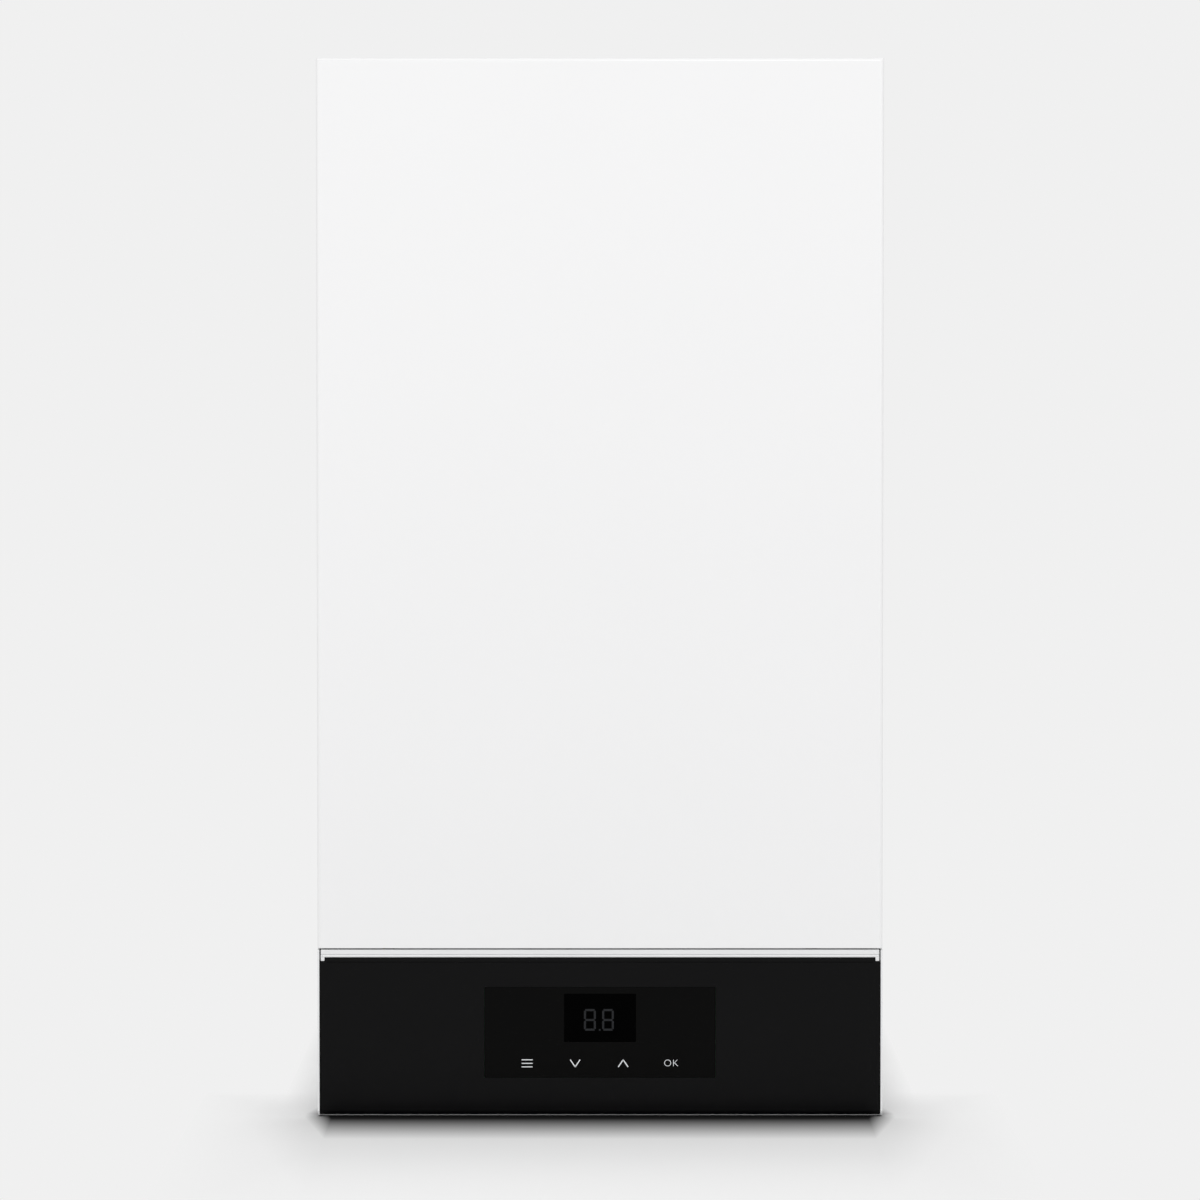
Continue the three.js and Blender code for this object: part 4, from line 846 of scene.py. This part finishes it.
def socket_box(name, low, high, pins_axis):
    """Small plug housing with the two ribs of its latch. Its pins leave along the axis given by number."""
    made = [soften(block(name, low, high), 0.6)]
    low, high = Vector(low), Vector(high)
    middle, size = (low + high) / 2, high - low
    half = size * 0.36
    half[pins_axis] = size[pins_axis] / 2 + 1.2
    half.x = 0.8
    for offset in (-0.25, 0.25):
        centre = middle + Vector((size.x * offset, 0, 0))
        made.append(soften(block(name, centre - half, centre + half), 0.25, 1))
    return joined(made, name)


class BOILER_OT_heat_engine(bpy.types.Operator):
    """Heat exchanger, burner door, fan, gas valve, flue and expansion vessel"""
    bl_idname = "boiler.heat_engine"
    bl_label = "Heat engine"

    def execute(self, context):
        rounded_copies(edge_width("cast_edge"), 3, "mixing_duct", "fan_housing", "gas_valve", "burner_door")
        rounded_copies(edge_width("sheet_edge"), 2, "ignition_transformer", "fan_motor", "ignition_electrode",
                       "burner_gasket", "burner_tube", "heat_exchanger_shell", "fan_impeller")
        rounded_copies(0.2, 1, "flue_outlet")
        self.coil()
        self.exchanger_trim()
        self.door_trim()
        self.fan_trim()
        self.valve_trim()
        self.flue()
        self.vessel()
        self.leads()
        return {"FINISHED"}

    def coil(self):
        """Wound tube of the heat exchanger."""
        low, high = box("heat_exchanger_coil")
        middle = (low + high) / 2
        turns = 11
        pitch = (high.y - low.y) / turns
        tube = pitch * 0.46
        rings = [ring("ring", "y", (middle.x, middle.z), low.y + pitch * (step + 0.5),
                      (high.x - low.x) / 2 - tube, tube, 72) for step in range(turns)]
        stand_for(joined(rings, "wound_coil"), "heat_exchanger_coil")

    def exchanger_trim(self):
        """Rolled beads and clamp band of the shell."""
        centre, radius = (DOOR.x, DOOR.z), (DOOR_HIGH.x - DOOR_LOW.x) / 2 + 1
        group([ring("bead", "y", centre, y, radius - 0.6, 1.9) for y in (-58, -8, 42)],
              "shell_beads", "stainless")
        band = disc("clamp_band", "y", centre, radius + 0.9, -78.5, -68.5, 96)
        cut(band, disc("band_bore", "y", centre, radius - 0.3, -90, -60, 96))
        side = DOOR.x + radius
        lug = block("band_lug", (side - 2, -77, DOOR.z - 6), (side + 7, -70, DOOR.z + 6))
        rod = disc("band_screw", "z", (side + 4.5, -73.5), 2, DOOR.z - 12, DOOR.z + 12, 20)
        group([soften(band, 0.3), soften(lug, 0.5), soften(rod, 0.3, 1)], "clamp_band", "zinc_steel")

    def door_trim(self):
        """Nuts, sight glass and cooling fins of the burner door."""
        face = DOOR_LOW.y
        nuts = []
        for x, y, z in circle(DOOR, 89, 6, face + 3.5, math.pi / 6):
            nuts.append(nut("door_nut", "y", (x, z), 10, y - 5, y + 1))
            nuts.append(soften(disc("stud", "y", (x, z), 2.6, y - 8, y, 20), 0.4))
        group(nuts, "door_nuts", "zinc_steel")
        fins = []
        for step in range(24):
            angle = (step + 0.5) * math.pi / 12
            beside_duct = abs(math.sin(angle)) < 0.5 and math.cos(angle) > 0
            if not beside_duct:
                fin = block("fin", (46, -2.2, -1), (73, 2.2, 1))
                fins.append(soften(moved(fin, (0, -angle, 0), (DOOR.x, face - 0.6, DOOR.z)), 0.5))
        group(fins, "door_fins", "cast_aluminium")
        centre = (DOOR.x - 30, DOOR.z - 42)
        rim = disc("sight_ring", "y", centre, 9, face - 4, face + 1, 48)
        cut(rim, disc("sight_bore", "y", centre, 5.6, face - 6, face - 1, 48))
        dress(soften(rim, 0.5), "brass")
        dress(soften(disc("sight_glass", "y", centre, 5.5, face - 2, face - 1, 48), 0.2), "black_glass")

    def fan_trim(self):
        """Screws round the fan housing, bands and plug of its motor."""
        centre, radius = (FAN.x, FAN.z), FAN_HIGH.x - FAN.x
        places = [place for place in circle(FAN, radius - 5, 7, FAN_LOW.y + 15, 0.35) if place[0] > FAN.x - 48]
        screws("fan_screws", "y", places, 3.4, 2.2, -1)
        dress(ring("fan_seam", "y", centre, -100, radius - 0.3, 1.3, 96, 10), "cast_aluminium")
        low, high = box("fan_motor")
        bands = [ring("motor_band", "y", centre, y, (high.x - low.x) / 2 - 0.2, 0.9, 96, 8)
                 for y in (-66, -58, -50, -42)]
        group(bands, "fan_motor_bands", "grey_plastic")
        plug = socket_box("fan_plug", (FAN.x + 22, -58, FAN.z + 34), (FAN.x + 46, -40, FAN.z + 46), 2)
        dress(plug, "white_plastic")

    def valve_trim(self):
        """Coil, screws and test points of the gas valve, and the nuts of its pipes."""
        middle, face = (VALVE_LOW.x + VALVE_HIGH.x) / 2, VALVE_LOW.y + 12
        side, low, top = VALVE_LOW.x, VALVE_LOW.z, VALVE_HIGH.z
        coil = block("coil", (side + 6, face + 4, top - 30), (side - 12, face + 34, top - 6))
        foot = block("coil_foot", (side - 16, face + 10, top - 24), (side - 10, face + 28, top - 12))
        group([soften(coil, 1.2, 3), soften(foot, 0.8)], "valve_coil", "grey_plastic")
        places = [(middle + dx, face, z) for dx in (-24, 24) for z in (low + 12, top - 11)]
        screws("valve_screws", "y", places, 3.2, 2.4, -1)
        points = [turned("point", "y", (middle + dx, low + 54),
                         [(face - 5, face + 1, 3.6), (face - 9, face - 4, 2.2)], 32, 0.3) for dx in (-20, 20)]
        group(points, "test_points", "brass")
        pipe_low, pipe_high = box("gas_pipe_upper")
        centre = ((pipe_low.x + pipe_high.x) / 2, pipe_high.y - (pipe_high.x - pipe_low.x) / 2)
        group([nut("gas_nut", "z", centre, 22, z, z + 12) for z in (top - 3, low - 9)], "gas_nuts", "brass")

    def flue(self):
        """Flue collar and socket with their lip seals, smooth all round."""
        centre, wall = (FLUE.x, FLUE.y), 4
        for node in ("flue_collar", "flue_socket"):
            low, high = box(node)
            rim_radius = (high.x - low.x) / 2
            radius = 54 if node == "flue_collar" else rim_radius
            tube = disc(f"{node}_finished", "z", centre, radius, low.z, high.z, 128)
            if radius != rim_radius:
                cut(tube, disc("rim", "z", centre, rim_radius, high.z - 3, high.z, 128), operation="UNION")
            cut(tube, disc("bore", "z", centre, radius - wall, low.z - 1, high.z + 1, 128))
            stand_for(soften(tube, 0.4), node)
            group([ring("seal", "z", centre, high.z - drop, radius - wall, 1.3, 96, 10) for drop in (5, 9)],
                  f"{node}_seals", "rubber")

    def vessel(self):
        """Pressed red vessel with a rolled seam and an air valve."""
        rounded_copies(2, 3, "expansion_vessel", angle=20)
        middle, face = (VESSEL_LOW + VESSEL_HIGH) / 2, VESSEL_LOW.y
        radius = (VESSEL_HIGH.x - VESSEL_LOW.x) / 2
        z = VESSEL_HIGH.z - radius
        dress(ring("vessel_seam", "y", (middle.x, z), middle.y, radius - 0.6, 2.6, 160), "red_paint")
        dress(ring("vessel_ridge", "y", (middle.x, z), face + 0.6, radius * 0.62, 2.2, 128, 10), "red_paint")
        dress(turned("vessel_valve", "y", (middle.x + 110, z - 95),
                     [(face - 8, face + 8, 6), (face - 14, face - 7, 4.5)], 40), "rubber")

    def leads(self):
        """Ignition lead, sensor leads and the loom that joins fan, valve and pump."""
        low, high = box("ignition_electrode")
        x, y, z = (low.x + high.x) / 2, low.y, (low.z + high.z) / 2
        dress(turned("electrode_boot", "y", (x, z), [(y - 9, y + 4, 5.6), (y - 13, y - 8, 4)], 40, 0.6),
              "rubber")
        low, high = box("ignition_transformer")
        end_x, end_y, end_z = low.x + 20, low.y + 2, high.z - 12
        wire("ignition_lead", [
            (x, y - 11, z), (x - 4, -132, z + 6), (-110, -134, z + 14), (-150, -126, z + 14),
            (-172, -100, z + 8), (end_x, end_y - 12, end_z), (end_x, end_y, end_z)], 2.6, "rubber")
        x, y, z = DOOR.x + 46, DOOR_LOW.y, DOOR.z + 42
        dress(turned("door_sensor", "y", (x, z), [(y - 2, y + 3, 9), (y - 7, y - 1, 6)], 48), "grey_plastic")
        for side, slot in ((-1, "black_wire"), (1, "grey_wire")):
            start, end = x + side * 2.2, LOOM_X + side * 1.5
            wire(f"sensor_lead_{slot}", [
                (start, y - 6, z), (start, -124, z + 8), (start + 14, -126, 640), (90, -110, 652),
                (160, -90, 640), (end, -70, 560), (end + 1, -60, 420)], 1.1, slot)
        for index, (slot, dx, dy) in enumerate(LOOM_STRANDS):
            x, y, top = LOOM_X + dx, LOOM_Y + dy, 580 - 26 * index
            wire(f"loom_{index + 1}", [
                (x, y, 37.5), (x, y, 150), (x + 1, y - 1, 300), (x, y + 1, 400), (x, y, top - 40),
                (x, y, top), (x - 12, y + 2, top + 6)], 1.5, slot)
        x = VALVE_LOW.x
        wire("valve_lead", [
            (x - 13, -104, 432), (x - 28, -104, 424), (x - 30, -70, 400), (130, -40, 385),
            (170, -48, 384), (LOOM_X, LOOM_Y, 360)], 1.8, "black_wire")
        x, z = FAN.x, FAN.z
        wire("fan_lead", [
            (x + 34, -49, z + 45), (x + 36, -49, z + 62), (x + 54, -50, z + 60),
            (LOOM_X, LOOM_Y, z + 30), (LOOM_X, LOOM_Y, z - 20)], 1.8, "black_wire")
        x, z = PUMP.x, PUMP.z
        wire("pump_lead", [
            (x + 2, -38, z + 52), (x + 4, -40, z + 68), (x + 40, -46, z + 66),
            (LOOM_X, LOOM_Y, z + 50), (LOOM_X, LOOM_Y, z)], 2, "black_wire")
        ties = [ring("tie", "z", (LOOM_X, LOOM_Y + 0.6), z, 6.4, 1, 40, 8) for z in (215, 300, 385, 455)]
        group(ties, "loom_ties", "white_plastic")


# ---------------------------------------------------------------- hydraulics
TAILS = (-132, -66, 0, 66, 132)
THREAD_ROWS = (9.4, 11.0, 12.6, 27.6, 29.2, 30.8, 32.4, 34.0)
# each pipe's node, radius, bend radius and corners
PIPES = (
    ("flow_pipe", 9, 18, ((-110, 20, 469.7), (-110, 20, 320), (-125, 85, 320), (-125, 85, 208.3))),
    ("return_pipe", 9, 18, ((20, 20, 469.7), (20, 20, 320), (125, 85, 320), (125, 85, 208.3))),
    ("gas_pipe_lower", 9, 18, ((0, 85, 8), (0, 85, 54), (0, 40, 54), (0, 40, 300), (0, -100, 300),
                               (122, -100, 300), (122, -100, 348.7))),
    ("gas_pipe_upper", 6, 5.5, ((122, -100, 449.3), (122, -100, 455.3), (122, -137, 455.3),
                                (122, -137, 494.7))),
    ("condensate_hose", 9, 25, ((-45, 30, 451.7), (-45, 30, 400), (-120, -20, 260), (-120, -20, 200.3))),
)
# each block plug's x, z and width across flats
PLUGS = ((-100, 190, 15), (-154, 190, 12), (-157, 112, 10), (-100, 112, 10), (-100, 68, 12),
         (100, 190, 15), (156, 60, 10), (156, 160, 9))


class BOILER_OT_hydraulics(bpy.types.Operator):
    """Brass blocks, plate heat exchanger, pump, diverter, knobs, pipes and siphon"""
    bl_idname = "boiler.hydraulics"
    bl_label = "Hydraulics"

    def execute(self, context):
        rounded_copies(edge_width("cast_edge"), 3, "flow_block", "return_block", "pump_volute")
        rounded_copies(edge_width("moulded_edge"), 2, "pump_motor", "pump_impeller", "diverter_motor",
                       "safety_valve_knob", "drain_valve_knob", "fill_valve_knob", "air_vent_cap",
                       "cable_gland", "siphon_body", "siphon_cup")
        rounded_copies(edge_width("sheet_edge"), 1, "plate_heat_exchanger")
        rounded_copies(edge_width("sheet_edge"), 2, "diverter_spindle", "flow_turbine")
        self.pipes()
        self.tails()
        self.pump_trim()
        self.diverter_trim()
        self.siphon_trim()
        self.block_trim()
        self.plate_trim()
        self.vessel_hose()
        return {"FINISHED"}

    def pipes(self):
        """Copper pipes and condensate hose, with the union nuts at their ends."""
        for node, radius, bend, corners in PIPES:
            made = swept(f"{node}_finished", "POLY", rounded_path(corners, bend), radius, 6)
            if node == "gas_pipe_lower":
                cut(made, disc("bore", "z", (0, TAIL_Y), 7.5, 6, 30, 48))
            stand_for(smooth(made, 40), node)
        ends = [(x, 20, 461) for x in (-110, 20)] + [(x, TAIL_Y, 208) for x in (-125, 125)]
        group([nut("union_nut", "z", (x, y), 25, z, z + 13) for x, y, z in ends], "union_nuts", "brass")

    def tails(self):
        """Screw threads of the five pipe tails, and the nuts above the base plate."""
        threads, nuts = [], []
        for x in TAILS:
            radius = 9 if x == 0 else 12
            threads += [ring("thread", "z", (x, TAIL_Y), z, radius - 0.2, 0.7, 64, 6) for z in THREAD_ROWS]
            nuts.append(nut("tail_nut", "z", (x, TAIL_Y), 2.45 * radius, 38, 45))
        group(threads, "tail_threads", "brass")
        group(nuts, "tail_nuts", "brass")

    def pump_trim(self):
        """Screws, end cap and plug of the pump."""
        low, high = box("pump_motor")
        centre, face, radius = (PUMP.x, PUMP.z), low.y, (high.x - low.x) / 2
        cap = turned("pump_cap", "y", centre, [(face - 1.5, face + 4, radius - 12), (face - 3.5, face, 8)])
        dress(cap, "zinc_steel")
        group([ring("pump_rib", "y", centre, y, radius - 4.4, 1.1, 96, 8) for y in (-48, -40, -32, -24, -16)],
              "pump_ribs", "grey_plastic")
        heads = [soften(disc("pump_screw", "y", (PUMP.x + dx, PUMP.z + dz), 4, face + 55, face + 60, 24), 0.4)
                 for dx in (-31, 31) for dz in (-31, 31)]
        group(heads, "pump_screws", "stainless")
        plug = socket_box("pump_plug", (PUMP.x - 12, face + 12, PUMP.z + radius - 8),
                          (PUMP.x + 16, face + 34, PUMP.z + radius + 8), 2)
        dress(plug, "black_plug")

    def diverter_trim(self):
        """Plug and lead of the diverter, and the grommets that this lead and the loom pass through."""
        low, high = box("diverter_motor")
        x, y, z = low
        dress(socket_box("diverter_plug", (x + 12, y - 7, z + 6), (high.x - 12, y + 4, z + 18), 1),
              "white_plastic")
        wire("diverter_lead", [
            (x + 22, y - 6, z + 12), (x + 22, y - 22, z + 10), (x + 10, y - 34, z - 14),
            (-168, -40, 96), (-172, -50, 70), (-172, -54, 37.5)], 2, "black_wire")
        grommets = []
        for x, y, radius in ((-172, -54, 5), (181, -51, 9)):
            grommets.append(ring("grommet", "z", (x, y), 37.6, radius, 1.6, 48))
            grommets.append(soften(disc("grommet", "z", (x, y), radius, 37.2, 38, 48), 0.2, 1))
        group(grommets, "grommets", "rubber")

    def block_trim(self):
        """Hexagon plugs and ridges on the brass blocks."""
        face, made = 55, []
        for x, z, flats in PLUGS:
            made.append(soften(disc("plug", "y", (x, z), flats * 0.66, face - 1.2, face + 1, 40), 0.3, 1))
            made.append(nut("plug", "y", (x, z), flats, face - 6, face))
            made.append(soften(disc("plug", "y", (x, z), flats * 0.3, face - 7, face - 5, 32), 0.4))
        group(made, "block_plugs", "brass")
        y = box("flow_block")[0].y
        ridges = [soften(block("ridge", (x - 37, y + 1, z), (x + 37, y + 6, z + 3)), 0.8)
                  for x in (-128, 128) for z in (96, 197)]
        group(ridges, "block_ridges", "brass")

    def plate_trim(self):
        """Pressed chevrons and studs on the front of the plate heat exchanger."""
        low, high = box("plate_heat_exchanger")
        ribs = []
        for step in range(-5, 6):
            for lean in (156, 24):
                rib = block("chevron", (-1.3, -0.9, 0), (1.3, 0.3, 31))
                moved(rib, (0, math.radians(lean), 0), (step * 14 - 6, low.y, (low.z + high.z) / 2))
                ribs.append(soften(rib, 0.5))
        group(ribs, "plate_chevrons", "stainless")
        studs = [nut("plate_nut", "y", (x, z), 9, low.y - 4, low.y + 1)
                 for x in (-83, 83) for z in (low.z + 9, high.z - 9)]
        group(studs, "plate_nuts", "zinc_steel")

    def vessel_hose(self):
        """Braided hose from the expansion vessel to the return block."""
        y, z = middle_of("expansion_vessel").y, VESSEL_LOW.z
        wire("vessel_hose", [(0, y, z - 4), (0, y, 300), (4, y, 262), (60, y, 250), (98, y, 250),
                             (101, y, 222), (101, y, 202)], 5, "braid")
        group([nut("hose_nut", "z", (0, y), 17, z - 10, z + 2), nut("hose_nut", "z", (101, y), 17, 199, 212)],
              "hose_nuts", "brass")

    def siphon_trim(self):
        """Grips on the siphon cup, which turn with it."""
        low, high = box("siphon_cup")
        radius = (high.x - low.x) / 2
        centre = ((low.x + high.x) / 2, high.y - radius, low.z + 20)
        grips = []
        for step in range(24):
            grip = block("grip", (radius - 0.8, -1.2, -10), (radius + 0.35, 1.2, 10))
            grips.append(soften(moved(grip, (0, 0, step * math.pi / 12), centre), 0.3, 1))
        group(grips, "siphon_grips", SLOT_OF["siphon_cup"], BODY_OF["siphon_cup"])


def fit_nodes():
    """Gives the CAD nodes that are still shown their finished materials."""
    for node, piece in frame["nodes"].items():
        for slot in piece.material_slots:
            slot.material = MATERIALS[SLOT_OF[node]]


# ---------------------------------------------------------------- stage
# From here on lengths are in metres.
FACE_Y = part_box("front_cover")[0].y
SIDE_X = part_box("front_cover")[1].x
SENSOR = 36  # width of the camera's sensor, in millimetres
UNDER_EDGE = 0.02  # how far under the boiler its painted contact shadow is darkest
NEAR_START, NEAR_REACH, NEAR_SHARE = 0.008, 0.108, 0.83  # the dark part of the painted contact shadow
FAR_REACH, FAR_SHARE, DARKEST = 0.4, 0.15, 0.015  # the painted contact shadow's wide, faint part, and the tone where it touches
SIDE_FADE, FRONT_FADE, BACK_FADE = 0.085, 0.3, 0.25  # over which the floor turns into the backdrop
LAMPS = (  # name, place, aim, size and power
    ("key_lamp", (0.0, -3.2, 3.4), (0, FACE_Y, 0.55), 2.2, 45),
    ("top_lamp", (-0.08, -1.5, 1.8), (-0.04, FACE_Y, 0.6), 0.7, 2.4),
    ("left_lamp", (-2.6, -1.4, 1.3), (0, 0, 0.45), 1.4, 5),
    ("right_lamp", (2.6, -1.4, 1.3), (0, 0, 0.45), 1.4, 5),
)


def seen(tree):
    """1 where the camera sees the surface, straight on, mirrored or through something."""
    path = tree.nodes.new("ShaderNodeLightPath")
    total = path.outputs["Is Camera Ray"]
    for name in ("Is Glossy Ray", "Is Transmission Ray"):
        either = tree.nodes.new("ShaderNodeMath")
        either.operation = "MAXIMUM"
        tree.links.new(total, either.inputs[0])
        tree.links.new(path.outputs[name], either.inputs[1])
        total = either.outputs[0]
    return total


class BOILER_OT_stage(bpy.types.Operator):
    """Camera, pale floor and backdrop, and soft lamps"""
    bl_idname = "boiler.stage"
    bl_label = "Stage"

    def execute(self, context):
        look = context.scene.boiler_stage
        context.scene.view_settings.view_transform = "Standard"
        self.camera(look)
        self.world(look)
        self.floor(look)
        for lamp in LAMPS:
            self.lamp(*lamp)
        return {"FINISHED"}

    def camera(self, look):
        down = math.radians(look.pitch)
        deselect()
        bpy.ops.object.camera_add(
            location=(0, FACE_Y - look.distance, look.frame_middle + look.distance * math.tan(down)),
            rotation=(math.pi / 2 - down, 0, 0))
        camera = bpy.context.object
        camera.data.sensor_width = SENSOR
        camera.data.lens = SENSOR * look.distance / math.cos(down) / look.frame_width
        camera.data.clip_start = 0.05
        bpy.context.scene.camera = camera

    def world(self, look):
        """The backdrop's tone for the camera, and a plainer light for the object."""
        world = bpy.data.worlds.new("studio")
        bpy.context.scene.world = world
        world.use_nodes = True
        nodes, links = world.node_tree.nodes, world.node_tree.links
        background = nodes["Background"]
        background.inputs["Color"].default_value = (1, 1, 1, 1)
        scale = nodes.new("ShaderNodeMapRange")
        links.new(seen(world.node_tree), scale.inputs["Value"])
        scale.inputs["To Min"].default_value = look.daylight
        scale.inputs["To Max"].default_value = look.background
        links.new(scale.outputs[0], background.inputs["Strength"])

    def floor(self, look):
        """Pale floor with a painted contact shadow, which fades into the backdrop and is clear from below."""
        deselect()
        bpy.ops.mesh.primitive_plane_add(size=60, location=(0, 0, CAD_BOX[0][2] - 0.2 * MM))
        floor = bpy.context.object
        floor.name = "stage_floor"
        shader = Shader("stage_floor")
        light = Sock(shader, seen(shader.tree))
        # painted shadow: for camera, glossy and transmission rays, the floor's colour darkens towards the
        # boiler's front edge and sides, on top of the shadows that the lamps cast
        beside = shader.axis("X").math("ABSOLUTE", 0.0) - SIDE_X
        ahead = FACE_Y - shader.axis("Y")
        under = (-UNDER_EDGE - ahead).most(0.0)
        contact = (beside + 0.01).most(0.0) * 6.0 + ahead.most(0.0) + under
        near = ((contact - NEAR_START) / NEAR_REACH).most(0.0).least(1.0)
        painted_shadow = near * NEAR_SHARE + (contact / FAR_REACH).least(1.0) * FAR_SHARE + DARKEST
        tone = painted_shadow.most(1.0 - light) * look.floor_tone
        grey = shader.node("ShaderNodeCombineColor", {}, {0: tone, 1: tone, 2: tone})
        shader.set(Base_Color=grey, Roughness=0.9)
        shader.surface.inputs["Specular IOR Level"].default_value = 0.0
        behind = ((-UNDER_EDGE - ahead) / 0.12).most(0.0).least(1.0) * (beside / 0.03).most(0.0).least(1.0)
        fade = ((beside - 0.005) / SIDE_FADE).most((ahead - 0.2) / FRONT_FADE).most(behind)
        fade = fade.most((-0.32 - ahead) / BACK_FADE).most(0.0).least(1.0)
        glow = shader.tree.nodes.new("ShaderNodeEmission")
        glow.inputs["Strength"].default_value = look.background
        clear = shader.tree.nodes.new("ShaderNodeBsdfTransparent")
        below = shader.node("ShaderNodeNewGeometry", {}, {}, "Backfacing")
        both = shader.blend(fade * light, shader.surface.outputs[0], glow.outputs[0])
        shader.tree.links.new(shader.blend(below, both, clear.outputs[0]),
                              shader.tree.nodes["Material Output"].inputs["Surface"])
        floor.data.materials.append(shader.material)

    def lamp(self, name, place, aim, size, power):
        deselect()
        turn = (Vector(aim) - Vector(place)).to_track_quat("-Z", "Y").to_euler()
        bpy.ops.object.light_add(type="AREA", location=place, rotation=turn)
        lamp = bpy.context.object
        lamp.name = name
        lamp.data.size = size
        lamp.data.energy = power


# ---------------------------------------------------------------- add-on
STEPS = (
    (BOILER_OT_cover, "cover"),
    (BOILER_OT_casing, "casing"),
    (BOILER_OT_control_unit, "control_unit"),
    (BOILER_OT_marks, "marks"),
    (BOILER_OT_heat_engine, "heat_engine"),
    (BOILER_OT_hydraulics, "hydraulics"),
    (BOILER_OT_stage, "stage"),
)
SETTINGS = ((BoilerFinish, "boiler_finish"), (BoilerEdges, "boiler_edges"), (BoilerStage, "boiler_stage"))


class BOILER_PT_panel(bpy.types.Panel):
    """Lists the boiler's settings and the steps that build it"""
    bl_idname = "BOILER_PT_panel"
    bl_label = "Combi boiler"
    bl_space_type = "VIEW_3D"
    bl_region_type = "UI"
    bl_category = "Boiler"

    def draw(self, context):
        for group, name in SETTINGS:
            column = self.layout.column(align=True)
            settings = getattr(context.scene, name)
            for key in group.__annotations__:
                column.prop(settings, key)
        for operator, name in STEPS:
            self.layout.operator(operator.bl_idname)


def register():
    for group, name in SETTINGS:
        bpy.utils.register_class(group)
        setattr(bpy.types.Scene, name, bpy.props.PointerProperty(type=group))
    for operator, name in STEPS:
        bpy.utils.register_class(operator)
    bpy.utils.register_class(BOILER_PT_panel)


def unregister():
    bpy.utils.unregister_class(BOILER_PT_panel)
    for operator, name in reversed(STEPS):
        bpy.utils.unregister_class(operator)
    for group, name in reversed(SETTINGS):
        delattr(bpy.types.Scene, name)
        bpy.utils.unregister_class(group)


def main():
    register()
    MATERIALS.update(make_materials())
    for operator, name in STEPS:
        getattr(bpy.ops.boiler, name)()
    fit_nodes()


if __name__ == "__main__":
    main()
